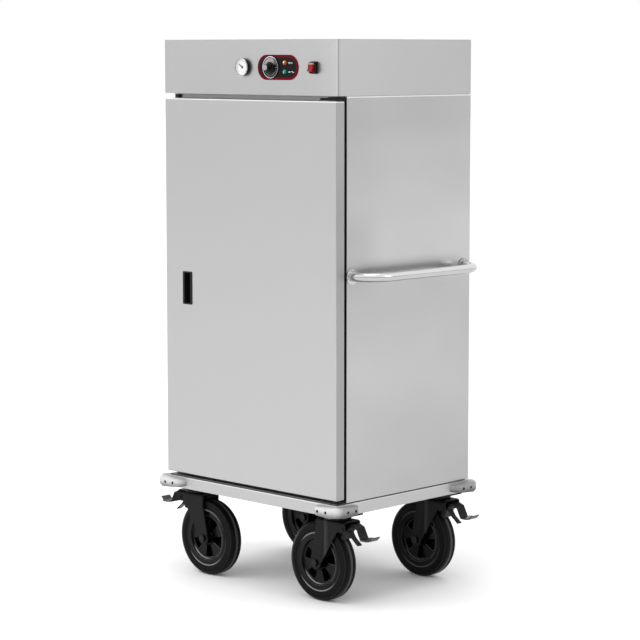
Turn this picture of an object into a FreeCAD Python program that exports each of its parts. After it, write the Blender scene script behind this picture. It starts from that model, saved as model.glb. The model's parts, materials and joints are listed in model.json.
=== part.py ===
import FreeCAD, Part
import os
from math import cos, radians, sin, sqrt

Vec = FreeCAD.Vector

# Heated banquet cart, in millimetres. The origin is on the floor under the middle of the cart,
# +X is to the right seen from the front, +Y to the back and +Z up. The door faces -Y.

# Cabinet
width = 780.0
depth = 623.0
height = 1765.0
header_height = 173.0
sheet = 1.2
wall = 40.0
cove_radius = 14.0
fold_width = 15.0
roof_thickness = 2.0
roof_inset = 2.0

# Base frame, corner bumpers and caster height
caster_height = 290.0
rail_height = 38.0
rail_width = 30.0
rail_wall = 2.5
pad_length = 125.0
pad_depth = 115.0
pad_thickness = 6.0
deck_thickness = 4.0
deck_inset = 7.0
bumper_reach = 26.0
bumper_leg = 68.0
bumper_corner_radius = 40.0
bumper_end_radius = 15.0
bumper_edge_radius = 11.0

# Door, its seal, pull and hinges
door_thickness = 34.0
door_gap = 9.0
door_side_inset = 0.5
door_top_gap = 16.0
door_bottom_gap = 10.0
gasket_clearance = 0.3
gasket_width = 16.0
gasket_inset = 8.0
gasket_radius = 10.0
pull_width = 44.0
pull_height = 108.0
pull_depth = 22.0
pull_wall = 1.6
pull_flange_side = 8.0
pull_flange_end = 4.5
pull_flange_thickness = 1.4
pull_radius = 4.0
pull_from_left = 103.5
pull_z = 958.6
hinge_inset = 17.0
hinge_pin_radius = 5.0
hinge_pin_length = 30.0
hinge_plate_thickness = 7.0
hinge_plate_length = 76.0
hinge_plate_front_gap = 4.0
hinge_tab_thickness = 4.0
hinge_tab_edge = 2.0
bush_radius = 9.0
bush_flange_radius = 13.0
bush_floor = 2.0

# Push handle on the right side
handle_z = 1037.0
handle_tube_radius = 14.0
handle_tube_wall = 1.8
handle_standoff = 86.0
handle_bend_radius = 82.0
handle_front_from_door = 65.0
handle_length = 525.0
handle_flange_radius = 24.0
handle_flange_thickness = 4.0

# Tray racks inside
rack_levels = 11
rack_first_level = 110.0
rack_head_room = 188.0
rack_post_width = 22.0
rack_post_depth = 14.0
rack_post_shares = (0.14, 0.86)
rack_post_top = 60.0
runner_width = 24.0
runner_drop = 16.0
runner_sheet = 1.5
runner_end_gap = 10.0

# Heating element on the liner's floor
element_radius = 5.0
element_bend_radius = 60.0
element_runs = 4
element_lift = 45.0
element_front_gap = 60.0
element_turn_gap = 70.0
bracket_width = 20.0
bracket_sheet = 2.0
bracket_overhang = 25.0
bracket_shares = (0.3, 0.72)

# Header panels
header_return = 4.5
header_seam = 0.8
header_flange = 14.0

# Controls on the header's front
controls_below_top = 87.0
gauge_x = -18.0
gauge_radius = 28.0
gauge_reach = 14.0
gauge_bezel = 1.9
gauge_lens_thickness = 1.5
gauge_lens_gap = 1.2
gauge_dial_depth = 5.0
gauge_dial_thickness = 0.8
gauge_stem_radius = 6.0
gauge_stem_length = 55.0
needle_post_radius = 1.4
needle_hub_radius = 3.0
needle_thickness = 0.7
needle_lift = 0.5
needle_length = 18.0
needle_tail = 6.0
needle_half_width = 1.1
needle_rest_angle = 144.0
plate_x = 136.0
plate_width = 178.0
plate_height = 78.0
plate_rim = 8.0
plate_thickness = 2.0
plate_field_thickness = 2.4
knob_x = 107.0
skirt_radius = 34.5
skirt_thickness = 4.0
skirt_ring = 4.0
skirt_recess = 1.2
skirt_clearance = 0.5
knob_hub_radius = 17.0
knob_hub_length = 9.0
knob_grip_radius = 12.5
knob_grip_tip_radius = 10.0
knob_grip_length = 17.0
knob_edge_radius = 1.5
knob_flute_count = 12
knob_flute_radius = 1.6
spindle_radius = 3.0
spindle_length = 20.0
thermostat_size = 42.0
thermostat_depth = 34.0
thermostat_bush_radius = 5.0
lamp_x = 170.0
lamp_spread = 28.0
lamp_radius = 7.2
lamp_flange = 3.0
lamp_dome = 3.5
lamp_stem_radius = 5.0
lamp_stem_length = 22.0
switch_x = 293.5
switch_width = 28.0
switch_height = 38.0
switch_flange = 2.5
switch_collar = 12.0
switch_collar_inset = 1.8
switch_wall = 2.0
switch_cavity = 9.0
switch_body_depth = 26.0
rocker_pivot_reach = 7.0
rocker_clearance = 0.4
rocker_pin_radius = 1.8
rocker_reach = 15.0
rocker_dip = 3.5
rocker_tilt = 8.0

# Power inlet on the header's back
inlet_x = -250.0
inlet_width = 50.0
inlet_height = 30.0
inlet_flange = 3.0
inlet_body_margin = 6.0
inlet_body_depth = 28.0
inlet_wall = 3.0
inlet_pin_length = 14.0
inlet_pin_width = 2.0
inlet_pin_height = 5.0
inlet_pin_spacing = 10.0

# Casters
swivel_x = 322.0
swivel_y = 237.0
caster_trail = 62.0
caster_plate_length = 132.0
caster_plate_width = 106.0
caster_plate_thickness = 6.0
caster_plate_radius = 10.0
race_radius = 44.0
race_height = 12.0
swivel_clearance = 0.5
kingpin_radius = 8.0
kingpin_nut_radius = 13.0
kingpin_nut_height = 8.0
fork_sheet = 5.0
fork_gap = 32.0
fork_bend_radius = 12.0
fork_crown_front = 64.0
fork_crown_back = 60.0
fork_hub_radius = 22.0
fork_nose_drop = 36.0
fork_leg_front = 30.0
fork_back_drop = 38.0
fork_press_depth = 1.5
fork_press_top = -24.0
fork_press_low = -43.0
fork_press_rise = 6.0
axle_radius = 8.0
axle_head_radius = 12.0
axle_head_height = 7.0

# Wheels
wheel_top_gap = 40.0
tyre_width = 54.0
tyre_bead_share = 0.712
tyre_bead_half = 23.0
tyre_step_height = 9.0
tyre_tread_half = 13.0
tyre_shoulder_drop = 13.0
tyre_shoulder_angle = 40.0
rim_hub_share = 0.248
rim_hub_half = 31.0
rim_hub_taper = 8.0
rim_web_half = 15.0
rim_flange_half = 24.0
rim_ring_share = 0.56
rim_flange_height = 5.0
rim_membrane = 4.0
spoke_count = 5
spoke_share = 0.23
window_margin = 4.0
window_radius_share = 0.045

# Brake pedals, measured from the caster's swivel axis
pedal_pivot_out = 52.0
pedal_pivot_drop = 44.0
pedal_pin_radius = 4.0
pedal_pin_head_radius = 7.0
pedal_pin_head_height = 2.5
pedal_hub_radius = 11.0
pedal_width = 36.0
pedal_sheet = 4.0
pedal_bend_radius = 9.0
pedal_arm_out = (0.0, 25.0, 46.0, 63.0, 100.0, 111.0)
pedal_arm_up = (3.0, 16.0, 8.0, -25.0, -25.0, -15.0)
tread_width = 56.0
tread_start_out = 67.0
tread_radius = 8.0
release_width = 18.0
release_out = (0.0, 20.0, 43.0)
release_up = (-2.0, -30.0, -48.0)
shoe_half_width = 8.0
shoe_clearance = 4.3
shoe_angle = 248.0

# Fits and cuts
running_fit = 0.05
seat_fit = 0.1
overrun = 5.0

# Planes worked out from the sizes above
half_width = width / 2
front = -depth / 2
back = depth / 2
rail_top = caster_height + rail_height
body_bottom = rail_top + deck_thickness
header_bottom = height - header_height
body_top = header_bottom - roof_thickness
body_front = front + door_thickness + door_gap
inner_half = half_width - wall
inner_bottom = body_bottom + wall
inner_top = body_top - wall
inner_front = body_front + sheet
inner_back = back - wall
door_left = door_side_inset - half_width
door_right = half_width - door_side_inset
door_bottom = body_bottom + door_bottom_gap
door_top = header_bottom - door_top_gap
door_back = front + door_thickness
hinge_x = door_right - hinge_inset
hinge_y = front + door_thickness / 2
pull_x = pull_from_left - half_width
controls_z = height - controls_below_top
panel_back = front + sheet
knob_face = front - plate_field_thickness
rack_pitch = (inner_top - inner_bottom - rack_first_level - rack_head_room) / (rack_levels - 1)
wheel_radius = (caster_height - wheel_top_gap) / 2
axle_z = wheel_radius
tyre_bead_radius = tyre_bead_share * wheel_radius
rim_hub_radius = rim_hub_share * wheel_radius
rim_ring_radius = rim_ring_share * wheel_radius
spoke_width = spoke_share * wheel_radius
window_radius = window_radius_share * wheel_radius
pedal_pivot_z = caster_height - pedal_pivot_drop
fork_top = caster_height - caster_plate_thickness - race_height - swivel_clearance
fork_outer = fork_gap + fork_sheet
corners = [(1, -1), (1, 1), (-1, -1), (-1, 1)]
corner_names = {(1, -1): "front_right", (1, 1): "back_right",
                (-1, -1): "front_left", (-1, 1): "back_left"}


def block(x0, y0, z0, x1, y1, z1):
    return Part.makeBox(x1 - x0, y1 - y0, z1 - z0, Vec(x0, y0, z0))


def rod(radius, start, end):
    run = end - start
    return Part.makeCylinder(radius, run.Length, start, run)


def rod_y(radius, x, z, y0, y1):
    return rod(radius, Vec(x, y0, z), Vec(x, y1, z))


def rod_z(radius, x, y, z0, z1):
    return rod(radius, Vec(x, y, z0), Vec(x, y, z1))


def flat_face(points):
    return Part.Face(Part.makePolygon(points + points[:1]))


def edges_along(solid, direction):
    found = []
    for edge in solid.Edges:
        if edge.Curve.TypeId == "Part::GeomLine":
            if abs(abs(edge.tangentAt(edge.FirstParameter).dot(direction)) - 1) < 1e-6:
                found.append(edge)
    return found


def rounded_plate_y(x, z, wide, tall, radius, y0, y1):
    plate = block(x - wide / 2, y0, z - tall / 2, x + wide / 2, y1, z + tall / 2)
    return plate.makeFillet(radius, edges_along(plate, Vec(0, 1, 0)))


def stadium_y(x, z, wide, tall, y0, y1):
    reach = wide / 2 - tall / 2
    middle = block(x - reach, y0, z - tall / 2, x + reach, y1, z + tall / 2)
    ends = [rod_y(tall / 2, x + side * reach, z, y0, y1) for side in (-1, 1)]
    return middle.fuse(ends).removeSplitter()


def revolve_y(profile, x, z):
    # The profile is a list of (radius, y) corners, turned about the Y line through x and z.
    face = flat_face([Vec(x + radius, y, z) for radius, y in profile])
    return face.revolve(Vec(x, 0, z), Vec(0, 1, 0), 360)


def revolve_z(profile, x, y):
    face = flat_face([Vec(x + radius, y, z) for radius, z in profile])
    return face.revolve(Vec(x, y, 0), Vec(0, 0, 1), 360)


def save(name, solids):
    shape = solids if isinstance(solids, Part.Shape) else Part.makeCompound(solids)
    shape.exportStep("parts/" + name + ".step")


# Base frame, bumpers and caster plates

def base_rail(x0, y0, x1, y1, along_x):
    outer = block(x0, y0, caster_height, x1, y1, rail_top)
    side_x = 0 if along_x else rail_wall
    side_y = rail_wall if along_x else 0
    hollow = block(x0 + side_x, y0 + side_y, caster_height + rail_wall,
                   x1 - side_x, y1 - side_y, rail_top - rail_wall)
    return outer.cut(hollow)


def base_frame():
    solids = []
    for side in (-1, 1):
        y0, y1 = sorted((side * back, side * (back - rail_width)))
        solids.append(base_rail(-half_width, y0, half_width, y1, True))
        x0, x1 = sorted((side * half_width, side * (half_width - rail_width)))
        solids.append(base_rail(x0, front + rail_width, x1, back - rail_width, False))
    for sx, sy in corners:
        x0, x1 = sorted((sx * (half_width - rail_width), sx * (half_width - rail_width - pad_length)))
        y0, y1 = sorted((sy * (back - rail_width), sy * (back - rail_width - pad_depth)))
        solids.append(block(x0, y0, caster_height, x1, y1, caster_height + pad_thickness))
    deck_x = half_width - deck_inset
    solids.append(block(-deck_x, front + deck_inset, rail_top, deck_x, back - deck_inset, body_bottom))
    return solids


def on_one_leg(place):
    # True at the outer corner of a leg's end, beyond one rail face and back at the leg's own end.
    beside = place.x > half_width + seat_fit and place.y > front + bumper_leg - seat_fit
    before = place.y < front - seat_fit and place.x < half_width - bumper_leg + seat_fit
    return beside or before


def corner_bumper(sx, sy):
    # Made at the front right corner, then turned or mirrored to its own corner.
    outer = block(half_width - bumper_leg, front - bumper_reach, caster_height,
                  half_width + bumper_reach, front + bumper_leg, rail_top)
    rail = block(half_width - bumper_leg - overrun, front, caster_height - overrun,
                 half_width, front + bumper_leg + overrun, rail_top + overrun)
    tip = [e for e in edges_along(outer, Vec(0, 0, 1))
           if e.CenterOfMass.x > half_width and e.CenterOfMass.y < front]
    outer = outer.makeFillet(bumper_corner_radius, tip)
    ends = [e for e in edges_along(outer, Vec(0, 0, 1))
            if on_one_leg(e.CenterOfMass)]
    outer = outer.makeFillet(bumper_end_radius, ends)
    bumper = outer.cut(rail)
    rims = []
    for edge in bumper.Edges:
        middle = edge.valueAt((edge.FirstParameter + edge.LastParameter) / 2)
        flat = edge.BoundBox.ZLength < seat_fit
        if flat and (middle.x > half_width + seat_fit or middle.y < front - seat_fit):
            rims.append(edge)
    bumper = bumper.makeFillet(bumper_edge_radius, rims)
    if sy > 0:
        bumper = bumper.mirror(Vec(0, 0, 0), Vec(0, 1, 0))
    if sx < 0:
        bumper = bumper.mirror(Vec(0, 0, 0), Vec(1, 0, 0))
    return bumper


def caster_plate(sx, sy):
    x = sx * swivel_x
    y = sy * swivel_y
    bottom = caster_height - caster_plate_thickness
    plate = block(x - caster_plate_length / 2, y - caster_plate_width / 2, bottom,
                  x + caster_plate_length / 2, y + caster_plate_width / 2, caster_height)
    plate = plate.makeFillet(caster_plate_radius, edges_along(plate, Vec(0, 0, 1)))
    race = rod_z(race_radius, x, y, bottom - race_height, bottom)
    nut_top = fork_top - fork_sheet - swivel_clearance
    pin = rod_z(kingpin_radius, x, y, nut_top, bottom)
    nut = rod_z(kingpin_nut_radius, x, y, nut_top - kingpin_nut_height, nut_top)
    return plate.fuse([race, pin, nut]).removeSplitter()


# Cabinet shells, liner, insulation and front frame

def body_side(sx):
    x0, x1 = sorted((sx * half_width, sx * (half_width - sheet)))
    panel = block(x0, inner_front, body_bottom, x1, back, body_top)
    f0, f1 = sorted((sx * (half_width - sheet), sx * (half_width - sheet - fold_width)))
    fold = block(f0, back - 2 * sheet, body_bottom + sheet, f1, back - sheet, body_top)
    return panel.fuse(fold).removeSplitter()


def body_back():
    inside = half_width - sheet
    return block(-inside, back - sheet, body_bottom, inside, back, body_top)


def body_floor():
    inside = half_width - sheet
    return block(-inside, inner_front, body_bottom, inside, back - sheet, body_bottom + sheet)


def body_roof():
    x = half_width - roof_inset
    return block(-x, body_front, body_top, x, back - roof_inset, header_bottom)


def front_frame():
    plate = block(-half_width, body_front, body_bottom, half_width, inner_front, body_top)
    opening = rounded_plate_y(0, (inner_bottom + inner_top) / 2, 2 * inner_half, inner_top - inner_bottom,
                              cove_radius, body_front - overrun, inner_front + overrun)
    return plate.cut(opening)


def inner_liner():
    z = (inner_bottom + inner_top) / 2
    tall = inner_top - inner_bottom
    outer = rounded_plate_y(0, z, 2 * (inner_half + sheet), tall + 2 * sheet, cove_radius + sheet,
                            inner_front, inner_back + sheet)
    hollow = rounded_plate_y(0, z, 2 * inner_half, tall, cove_radius, inner_front - overrun, inner_back)
    return outer.cut(hollow)


def insulation():
    inside = half_width - sheet
    liner_x = inner_half + sheet
    low = body_bottom + sheet
    rear = back - 2 * sheet
    liner_back = inner_back + sheet
    slabs = [block(-inside, inner_front, low, -liner_x, rear, body_top)]
    slabs.append(block(liner_x, inner_front, low, inside, rear, body_top))
    slabs.append(block(-liner_x, liner_back, low, liner_x, rear, body_top))
    slabs.append(block(-liner_x, inner_front, low, liner_x, liner_back, inner_bottom - sheet))
    slabs.append(block(-liner_x, inner_front, inner_top + sheet, liner_x, liner_back, body_top))
    return slabs


# Tray racks and heating element

def tray_rack(sx):
    # Posts stand on the liner's floor against its side, and each runner is a folded angle on the posts.
    wall_x = sx * inner_half
    post_x = sx * (inner_half - rack_post_depth)
    edge_x = sx * (inner_half - rack_post_depth - runner_sheet)
    tip_x = sx * (inner_half - rack_post_depth - runner_width)
    start = inner_front + runner_end_gap
    end = inner_back - runner_end_gap
    solids = []
    for share in rack_post_shares:
        y = start + share * (end - start)
        x0, x1 = sorted((wall_x, post_x))
        solids.append(block(x0, y - rack_post_width / 2, inner_bottom + cove_radius,
                            x1, y + rack_post_width / 2, inner_top - rack_post_top))
    for level in range(rack_levels):
        z = inner_bottom + rack_first_level + level * rack_pitch
        t0, t1 = sorted((tip_x, post_x))
        ledge = block(t0, start, z - runner_sheet, t1, end, z)
        d0, d1 = sorted((edge_x, post_x))
        drop = block(d0, start, z - runner_drop, d1, end, z)
        solids.append(ledge.fuse(drop).removeSplitter())
    return solids


def element_path():
    # A serpentine of straight runs joined by half circles, both ends on the liner's back.
    z = inner_bottom + element_lift
    near = inner_front + element_front_gap + element_bend_radius
    far = inner_back - element_turn_gap - element_bend_radius
    step = 2 * element_bend_radius
    first = -step * (element_runs - 1) / 2
    edges = []
    for run in range(element_runs):
        x = first + run * step
        going_front = run % 2 == 0
        start_y = far if run else inner_back
        end_y = inner_back if run == element_runs - 1 else far
        begin = Vec(x, start_y if going_front else near, z)
        finish = Vec(x, near if going_front else end_y, z)
        edges.append(Part.LineSegment(begin, finish).toShape())
        if run < element_runs - 1:
            bulge = -element_bend_radius if going_front else element_bend_radius
            middle = Vec(x + element_bend_radius, finish.y + bulge, z)
            edges.append(Part.Arc(finish, middle, Vec(x + step, finish.y, z)).toShape())
    return Part.Wire(edges), Vec(first, inner_back, z)


def heating_element():
    path, start = element_path()
    section = Part.Wire(Part.makeCircle(element_radius, start, Vec(0, 1, 0)))
    return path.makePipeShell([section], True, False)


def element_brackets():
    top = inner_bottom + element_lift - element_radius - seat_fit
    half = element_bend_radius * (element_runs - 1) + bracket_overhang
    solids = []
    for share in bracket_shares:
        y = inner_front + share * (inner_back - inner_front)
        strip = block(-half, y, top - bracket_sheet, half, y + bracket_width, top)
        legs = []
        for side in (-1, 1):
            x0, x1 = sorted((side * half, side * (half - bracket_sheet)))
            legs.append(block(x0, y, inner_bottom, x1, y + bracket_width, top))
        solids.append(strip.fuse(legs).removeSplitter())
    return solids


# Header

def panel_holes():
    near = front - overrun
    far = panel_back + overrun
    holes = [rod_y(gauge_stem_radius + seat_fit, gauge_x, controls_z, near, far)]
    holes.append(rod_y(thermostat_bush_radius + seat_fit, knob_x, controls_z, near, far))
    for side in (-1, 1):
        z = controls_z + side * lamp_spread / 2
        holes.append(rod_y(lamp_stem_radius + seat_fit, lamp_x, z, near, far))
    wide = switch_width / 2 - switch_collar_inset + seat_fit
    tall = switch_height / 2 - switch_collar_inset + seat_fit
    holes.append(block(switch_x - wide, near, controls_z - tall, switch_x + wide, far, controls_z + tall))
    return holes


def header_front():
    top = height - sheet
    panel = block(-half_width, front, header_bottom, half_width, panel_back, top)
    folds = []
    for side in (-1, 1):
        x0, x1 = sorted((side * half_width, side * (half_width - sheet)))
        folds.append(block(x0, front, header_bottom, x1, front + header_return, top))
    inside = half_width - sheet
    folds.append(block(-inside, front, top - sheet, inside, front + header_flange, top))
    folds.append(block(-inside, front, header_bottom,
                       inside, body_front + header_flange, header_bottom + sheet))
    return panel.fuse(folds).removeSplitter().cut(panel_holes())


def header_shell():
    start = front + header_return + header_seam
    top = height - sheet
    inside = half_width - sheet
    outer = block(-half_width, start, header_bottom, half_width, back, top)
    hollow = block(-inside, start - overrun, header_bottom - overrun, inside, back - sheet, top + overrun)
    shell = outer.cut(hollow)
    feet = []
    for side in (-1, 1):
        x0, x1 = sorted((side * half_width, side * (half_width - fold_width)))
        feet.append(block(x0, body_front + header_flange + header_seam, header_bottom,
                          x1, back, header_bottom + sheet))
    cut_wide = inlet_width / 2 - inlet_body_margin + seat_fit
    cut_tall = inlet_height / 2 - inlet_body_margin / 2 + seat_fit
    inlet_hole = block(inlet_x - cut_wide, back - sheet - overrun, controls_z - cut_tall,
                       inlet_x + cut_wide, back + overrun, controls_z + cut_tall)
    return shell.fuse(feet).removeSplitter().cut(inlet_hole)


def header_lid():
    return block(-half_width, front, height - sheet, half_width, back, height)


def power_inlet():
    flange = rounded_plate_y(inlet_x, controls_z, inlet_width, inlet_height, inlet_wall,
                             back, back + inlet_flange)
    wide = inlet_width / 2 - inlet_body_margin
    tall = inlet_height / 2 - inlet_body_margin / 2
    body = block(inlet_x - wide, back - inlet_body_depth, controls_z - tall,
                 inlet_x + wide, back, controls_z + tall)
    floor_y = back - inlet_body_depth + inlet_wall
    well = block(inlet_x - wide + inlet_wall, floor_y, controls_z - tall + inlet_wall,
                 inlet_x + wide - inlet_wall, back + inlet_flange + overrun, controls_z + tall - inlet_wall)
    socket = flange.fuse(body).cut(well)
    half_wide = inlet_pin_width / 2
    half_tall = inlet_pin_height / 2
    pins = []
    for place in (-1, 0, 1):
        x = inlet_x + place * inlet_pin_spacing
        pins.append(block(x - half_wide, floor_y, controls_z - half_tall,
                          x + half_wide, floor_y + inlet_pin_length, controls_z + half_tall))
    return socket.fuse(pins).removeSplitter()


# Controls

def control_plate_rim():
    outer = stadium_y(plate_x, controls_z, plate_width, plate_height, front - plate_thickness, front)
    inner = stadium_y(plate_x, controls_z, plate_width - 2 * plate_rim, plate_height - 2 * plate_rim,
                      front - plate_thickness - overrun, front + overrun)
    return outer.cut(inner)


def control_plate():
    shrink = 2 * (plate_rim + seat_fit)
    field = stadium_y(plate_x, controls_z, plate_width - shrink, plate_height - shrink,
                      knob_face, front)
    return field.cut(panel_holes()[1:4])


def pilot_lamp(side):
    z = controls_z + side * lamp_spread / 2
    seat = knob_face
    stem = rod_y(lamp_stem_radius, lamp_x, z, seat, seat + lamp_stem_length)
    base = rod_y(lamp_radius, lamp_x, z, seat - lamp_flange, seat)
    ball_radius = (lamp_radius ** 2 + lamp_dome ** 2) / (2 * lamp_dome)
    centre_y = seat - lamp_flange - lamp_dome + ball_radius
    ball = Part.makeSphere(ball_radius, Vec(lamp_x, centre_y, z))
    rim_y = seat - lamp_flange
    cap = ball.common(rod_y(lamp_radius, lamp_x, z, rim_y - lamp_dome - overrun, rim_y))
    return base.fuse([stem, cap]).removeSplitter()


def thermostat():
    half = thermostat_size / 2
    body = block(knob_x - half, panel_back, controls_z - half,
                 knob_x + half, panel_back + thermostat_depth, controls_z + half)
    bush = rod_y(thermostat_bush_radius, knob_x, controls_z, knob_face, panel_back)
    bore = rod_y(spindle_radius + running_fit, knob_x, controls_z,
                 knob_face - overrun, knob_face + spindle_length + skirt_clearance)
    return body.fuse(bush).removeSplitter().cut(bore)


def knob_skirt():
    near = knob_face - skirt_clearance
    far = near - skirt_thickness
    dished = far + skirt_recess
    profile = [(knob_hub_radius + running_fit, near), (skirt_radius, near), (skirt_radius, far),
               (skirt_radius - skirt_ring, far), (skirt_radius - skirt_ring, dished),
               (knob_hub_radius + running_fit, dished)]
    return revolve_y(profile, knob_x, controls_z)


def knob_grip():
    near = knob_face - skirt_clearance
    hub_end = near - knob_hub_length
    tip = hub_end - knob_grip_length
    edge = knob_edge_radius
    profile = [(0, near + spindle_length), (spindle_radius, near + spindle_length), (spindle_radius, near),
               (knob_hub_radius, near), (knob_hub_radius, hub_end + edge), (knob_hub_radius - edge, hub_end),
               (knob_grip_radius, hub_end), (knob_grip_tip_radius + edge / 2, tip + edge),
               (knob_grip_tip_radius - edge, tip), (0, tip)]
    grip = revolve_y(profile, knob_x, controls_z)
    flutes = []
    for turn in range(knob_flute_count):
        angle = radians(360.0 * turn / knob_flute_count)
        x = knob_x + (knob_grip_radius + knob_flute_radius / 2) * cos(angle)
        z = controls_z + (knob_grip_radius + knob_flute_radius / 2) * sin(angle)
        flutes.append(rod_y(knob_flute_radius, x, z, tip - overrun, hub_end - edge))
    return grip.cut(flutes)


def gauge_case():
    face = front - gauge_reach
    step = gauge_radius - gauge_bezel
    well = step - gauge_bezel / 2
    lens_seat = face + gauge_lens_gap + gauge_lens_thickness
    floor = face + gauge_lens_gap + gauge_lens_thickness + gauge_dial_depth
    profile = [(0, front + gauge_stem_length), (gauge_stem_radius, front + gauge_stem_length),
               (gauge_stem_radius, front), (gauge_radius, front), (gauge_radius, face), (step, face),
               (step, lens_seat), (well, lens_seat), (well, floor), (0, floor)]
    return revolve_y(profile, gauge_x, controls_z)


def gauge_floor():
    return front - gauge_reach + gauge_lens_gap + gauge_lens_thickness + gauge_dial_depth


def gauge_dial():
    well = gauge_radius - gauge_bezel * 3 / 2
    floor = gauge_floor()
    disc = rod_y(well - seat_fit, gauge_x, controls_z, floor - gauge_dial_thickness, floor)
    post_tip = floor - gauge_dial_thickness - needle_lift - 2 * needle_thickness
    post = rod_y(needle_post_radius, gauge_x, controls_z, post_tip, floor)
    return disc.fuse(post).removeSplitter()


def gauge_needle():
    base = gauge_floor() - gauge_dial_thickness - needle_lift
    tip = base - needle_thickness
    hub = rod_y(needle_hub_radius, gauge_x, controls_z, tip, base)
    outline = [(-needle_tail, -needle_half_width), (-needle_tail, needle_half_width),
               (0, needle_half_width), (needle_length, needle_half_width / 4),
               (needle_length, -needle_half_width / 4), (0, -needle_half_width)]
    points = [Vec(gauge_x + along, tip, controls_z + across) for along, across in outline]
    blade = flat_face(points).extrude(Vec(0, base - tip, 0))
    bore = rod_y(needle_post_radius + running_fit, gauge_x, controls_z, tip - overrun, base + overrun)
    needle = hub.fuse(blade).removeSplitter().cut(bore)
    needle.rotate(Vec(gauge_x, 0, controls_z), Vec(0, -1, 0), needle_rest_angle)
    return needle


def gauge_lens():
    step = gauge_radius - gauge_bezel
    near = front - gauge_reach + gauge_lens_gap
    return rod_y(step - seat_fit, gauge_x, controls_z, near, near + gauge_lens_thickness)


def switch_housing():
    flange = rounded_plate_y(switch_x, controls_z, switch_width, switch_height, switch_wall,
                             front - switch_flange, front)
    wide = switch_width - 2 * switch_collar_inset
    tall = switch_height - 2 * switch_collar_inset
    body = rounded_plate_y(switch_x, controls_z, wide, tall, switch_wall,
                           front - switch_collar, front + switch_body_depth)
    well = block(switch_x - wide / 2 + switch_wall, front - switch_collar - overrun,
                 controls_z - tall / 2 + switch_wall, switch_x + wide / 2 - switch_wall,
                 front + switch_cavity, controls_z + tall / 2 - switch_wall)
    pins = rod(rocker_pin_radius + running_fit,
               Vec(switch_x - wide / 2, front - rocker_pivot_reach, controls_z),
               Vec(switch_x + wide / 2, front - rocker_pivot_reach, controls_z))
    return flange.fuse(body).removeSplitter().cut([well, pins])


def switch_rocker():
    # Round below the pivot so that it turns inside the collar, with two flats in front.
    pivot_y = front - rocker_pivot_reach
    half_tall = switch_height / 2 - switch_collar_inset - switch_wall - rocker_clearance
    half_wide = switch_width / 2 - switch_collar_inset - switch_wall - rocker_clearance
    face_y = pivot_y - rocker_reach
    low = Vec(switch_x - half_wide, pivot_y, controls_z - half_tall)
    high = Vec(switch_x - half_wide, pivot_y, controls_z + half_tall)
    belly = Part.Arc(low, Vec(switch_x - half_wide, pivot_y + half_tall, controls_z), high).toShape()
    lean = half_tall * sin(radians(rocker_tilt))
    corners_yz = [(face_y, half_tall - lean), (face_y + rocker_dip, 0), (face_y, lean - half_tall)]
    points = [high] + [Vec(switch_x - half_wide, y, controls_z + z) for y, z in corners_yz] + [low]
    outline = Part.Wire([belly] + [Part.LineSegment(a, b).toShape() for a, b in zip(points, points[1:])])
    rocker = Part.Face(outline).extrude(Vec(2 * half_wide, 0, 0))
    pin_half = switch_width / 2 - switch_collar_inset - rocker_clearance
    pin = rod(rocker_pin_radius, Vec(switch_x - pin_half, pivot_y, controls_z),
              Vec(switch_x + pin_half, pivot_y, controls_z))
    rocker = rocker.fuse(pin).removeSplitter()
    rocker.rotate(Vec(switch_x, pivot_y, controls_z), Vec(-1, 0, 0), rocker_tilt)
    return rocker


# Push handle

def handle_path():
    side = half_width
    out = half_width + handle_standoff
    near = front + handle_front_from_door
    far = near + handle_length
    bend = handle_bend_radius
    slack = bend * (1 - cos(radians(45)))
    plan = [(side, near), (out - bend, near), (out, near + bend),
            (out, far - bend), (out - bend, far), (side, far)]
    points = [Vec(x, y, handle_z) for x, y in plan]
    mid_near = Vec(out - slack, near + slack, handle_z)
    mid_far = Vec(out - slack, far - slack, handle_z)
    edges = [Part.LineSegment(points[0], points[1]).toShape(),
             Part.Arc(points[1], mid_near, points[2]).toShape(),
             Part.LineSegment(points[2], points[3]).toShape(),
             Part.Arc(points[3], mid_far, points[4]).toShape(),
             Part.LineSegment(points[4], points[5]).toShape()]
    return Part.Wire(edges), points[0], points[5]


def push_handle():
    path, near, far = handle_path()
    skins = []
    for radius in (handle_tube_radius, handle_tube_radius - handle_tube_wall):
        section = Part.Wire(Part.makeCircle(radius, near, Vec(1, 0, 0)))
        skins.append(path.makePipeShell([section], True, False))
    tube = skins[0].cut(skins[1])
    flanges = []
    beyond = Vec(overrun, 0, 0)
    for end in (near, far):
        disc = rod(handle_flange_radius, end, end + Vec(handle_flange_thickness, 0, 0))
        hole = rod(handle_tube_radius - handle_tube_wall / 2, end - beyond, end + beyond)
        flanges.append(disc.cut(hole))
    return tube.fuse(flanges).removeSplitter()


# Door

def door_box(inset, y0, y1):
    return block(door_left + inset, y0, door_bottom + inset, door_right - inset, y1, door_top - inset)


def pull_cup_sizes():
    wide = pull_width - 2 * pull_flange_side + 2 * pull_wall
    tall = pull_height - 2 * pull_flange_end + 2 * pull_wall
    return wide, tall


def pull_pocket(extra, y0, y1):
    wide, tall = pull_cup_sizes()
    return block(pull_x - wide / 2 - extra, y0, pull_z - tall / 2 - extra,
                 pull_x + wide / 2 + extra, y1, pull_z + tall / 2 + extra)


def bush_holes():
    deep = hinge_pin_length + bush_floor + seat_fit
    return [rod_z(bush_radius + seat_fit, hinge_x, hinge_y, door_bottom - overrun, door_bottom + deep),
            rod_z(bush_radius + seat_fit, hinge_x, hinge_y, door_top - deep, door_top + overrun)]


def door_skin():
    shell = door_box(0, front, door_back).cut(door_box(sheet, front + sheet, door_back + overrun))
    return shell.cut(bush_holes() + [pull_pocket(seat_fit, front - overrun, front + sheet + overrun)])


def door_liner():
    return door_box(sheet, door_back - sheet, door_back)


def door_core():
    core = door_box(sheet, front + sheet, door_back - sheet)
    return core.cut(bush_holes() + [pull_pocket(seat_fit, front, front + pull_depth + seat_fit)])


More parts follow.
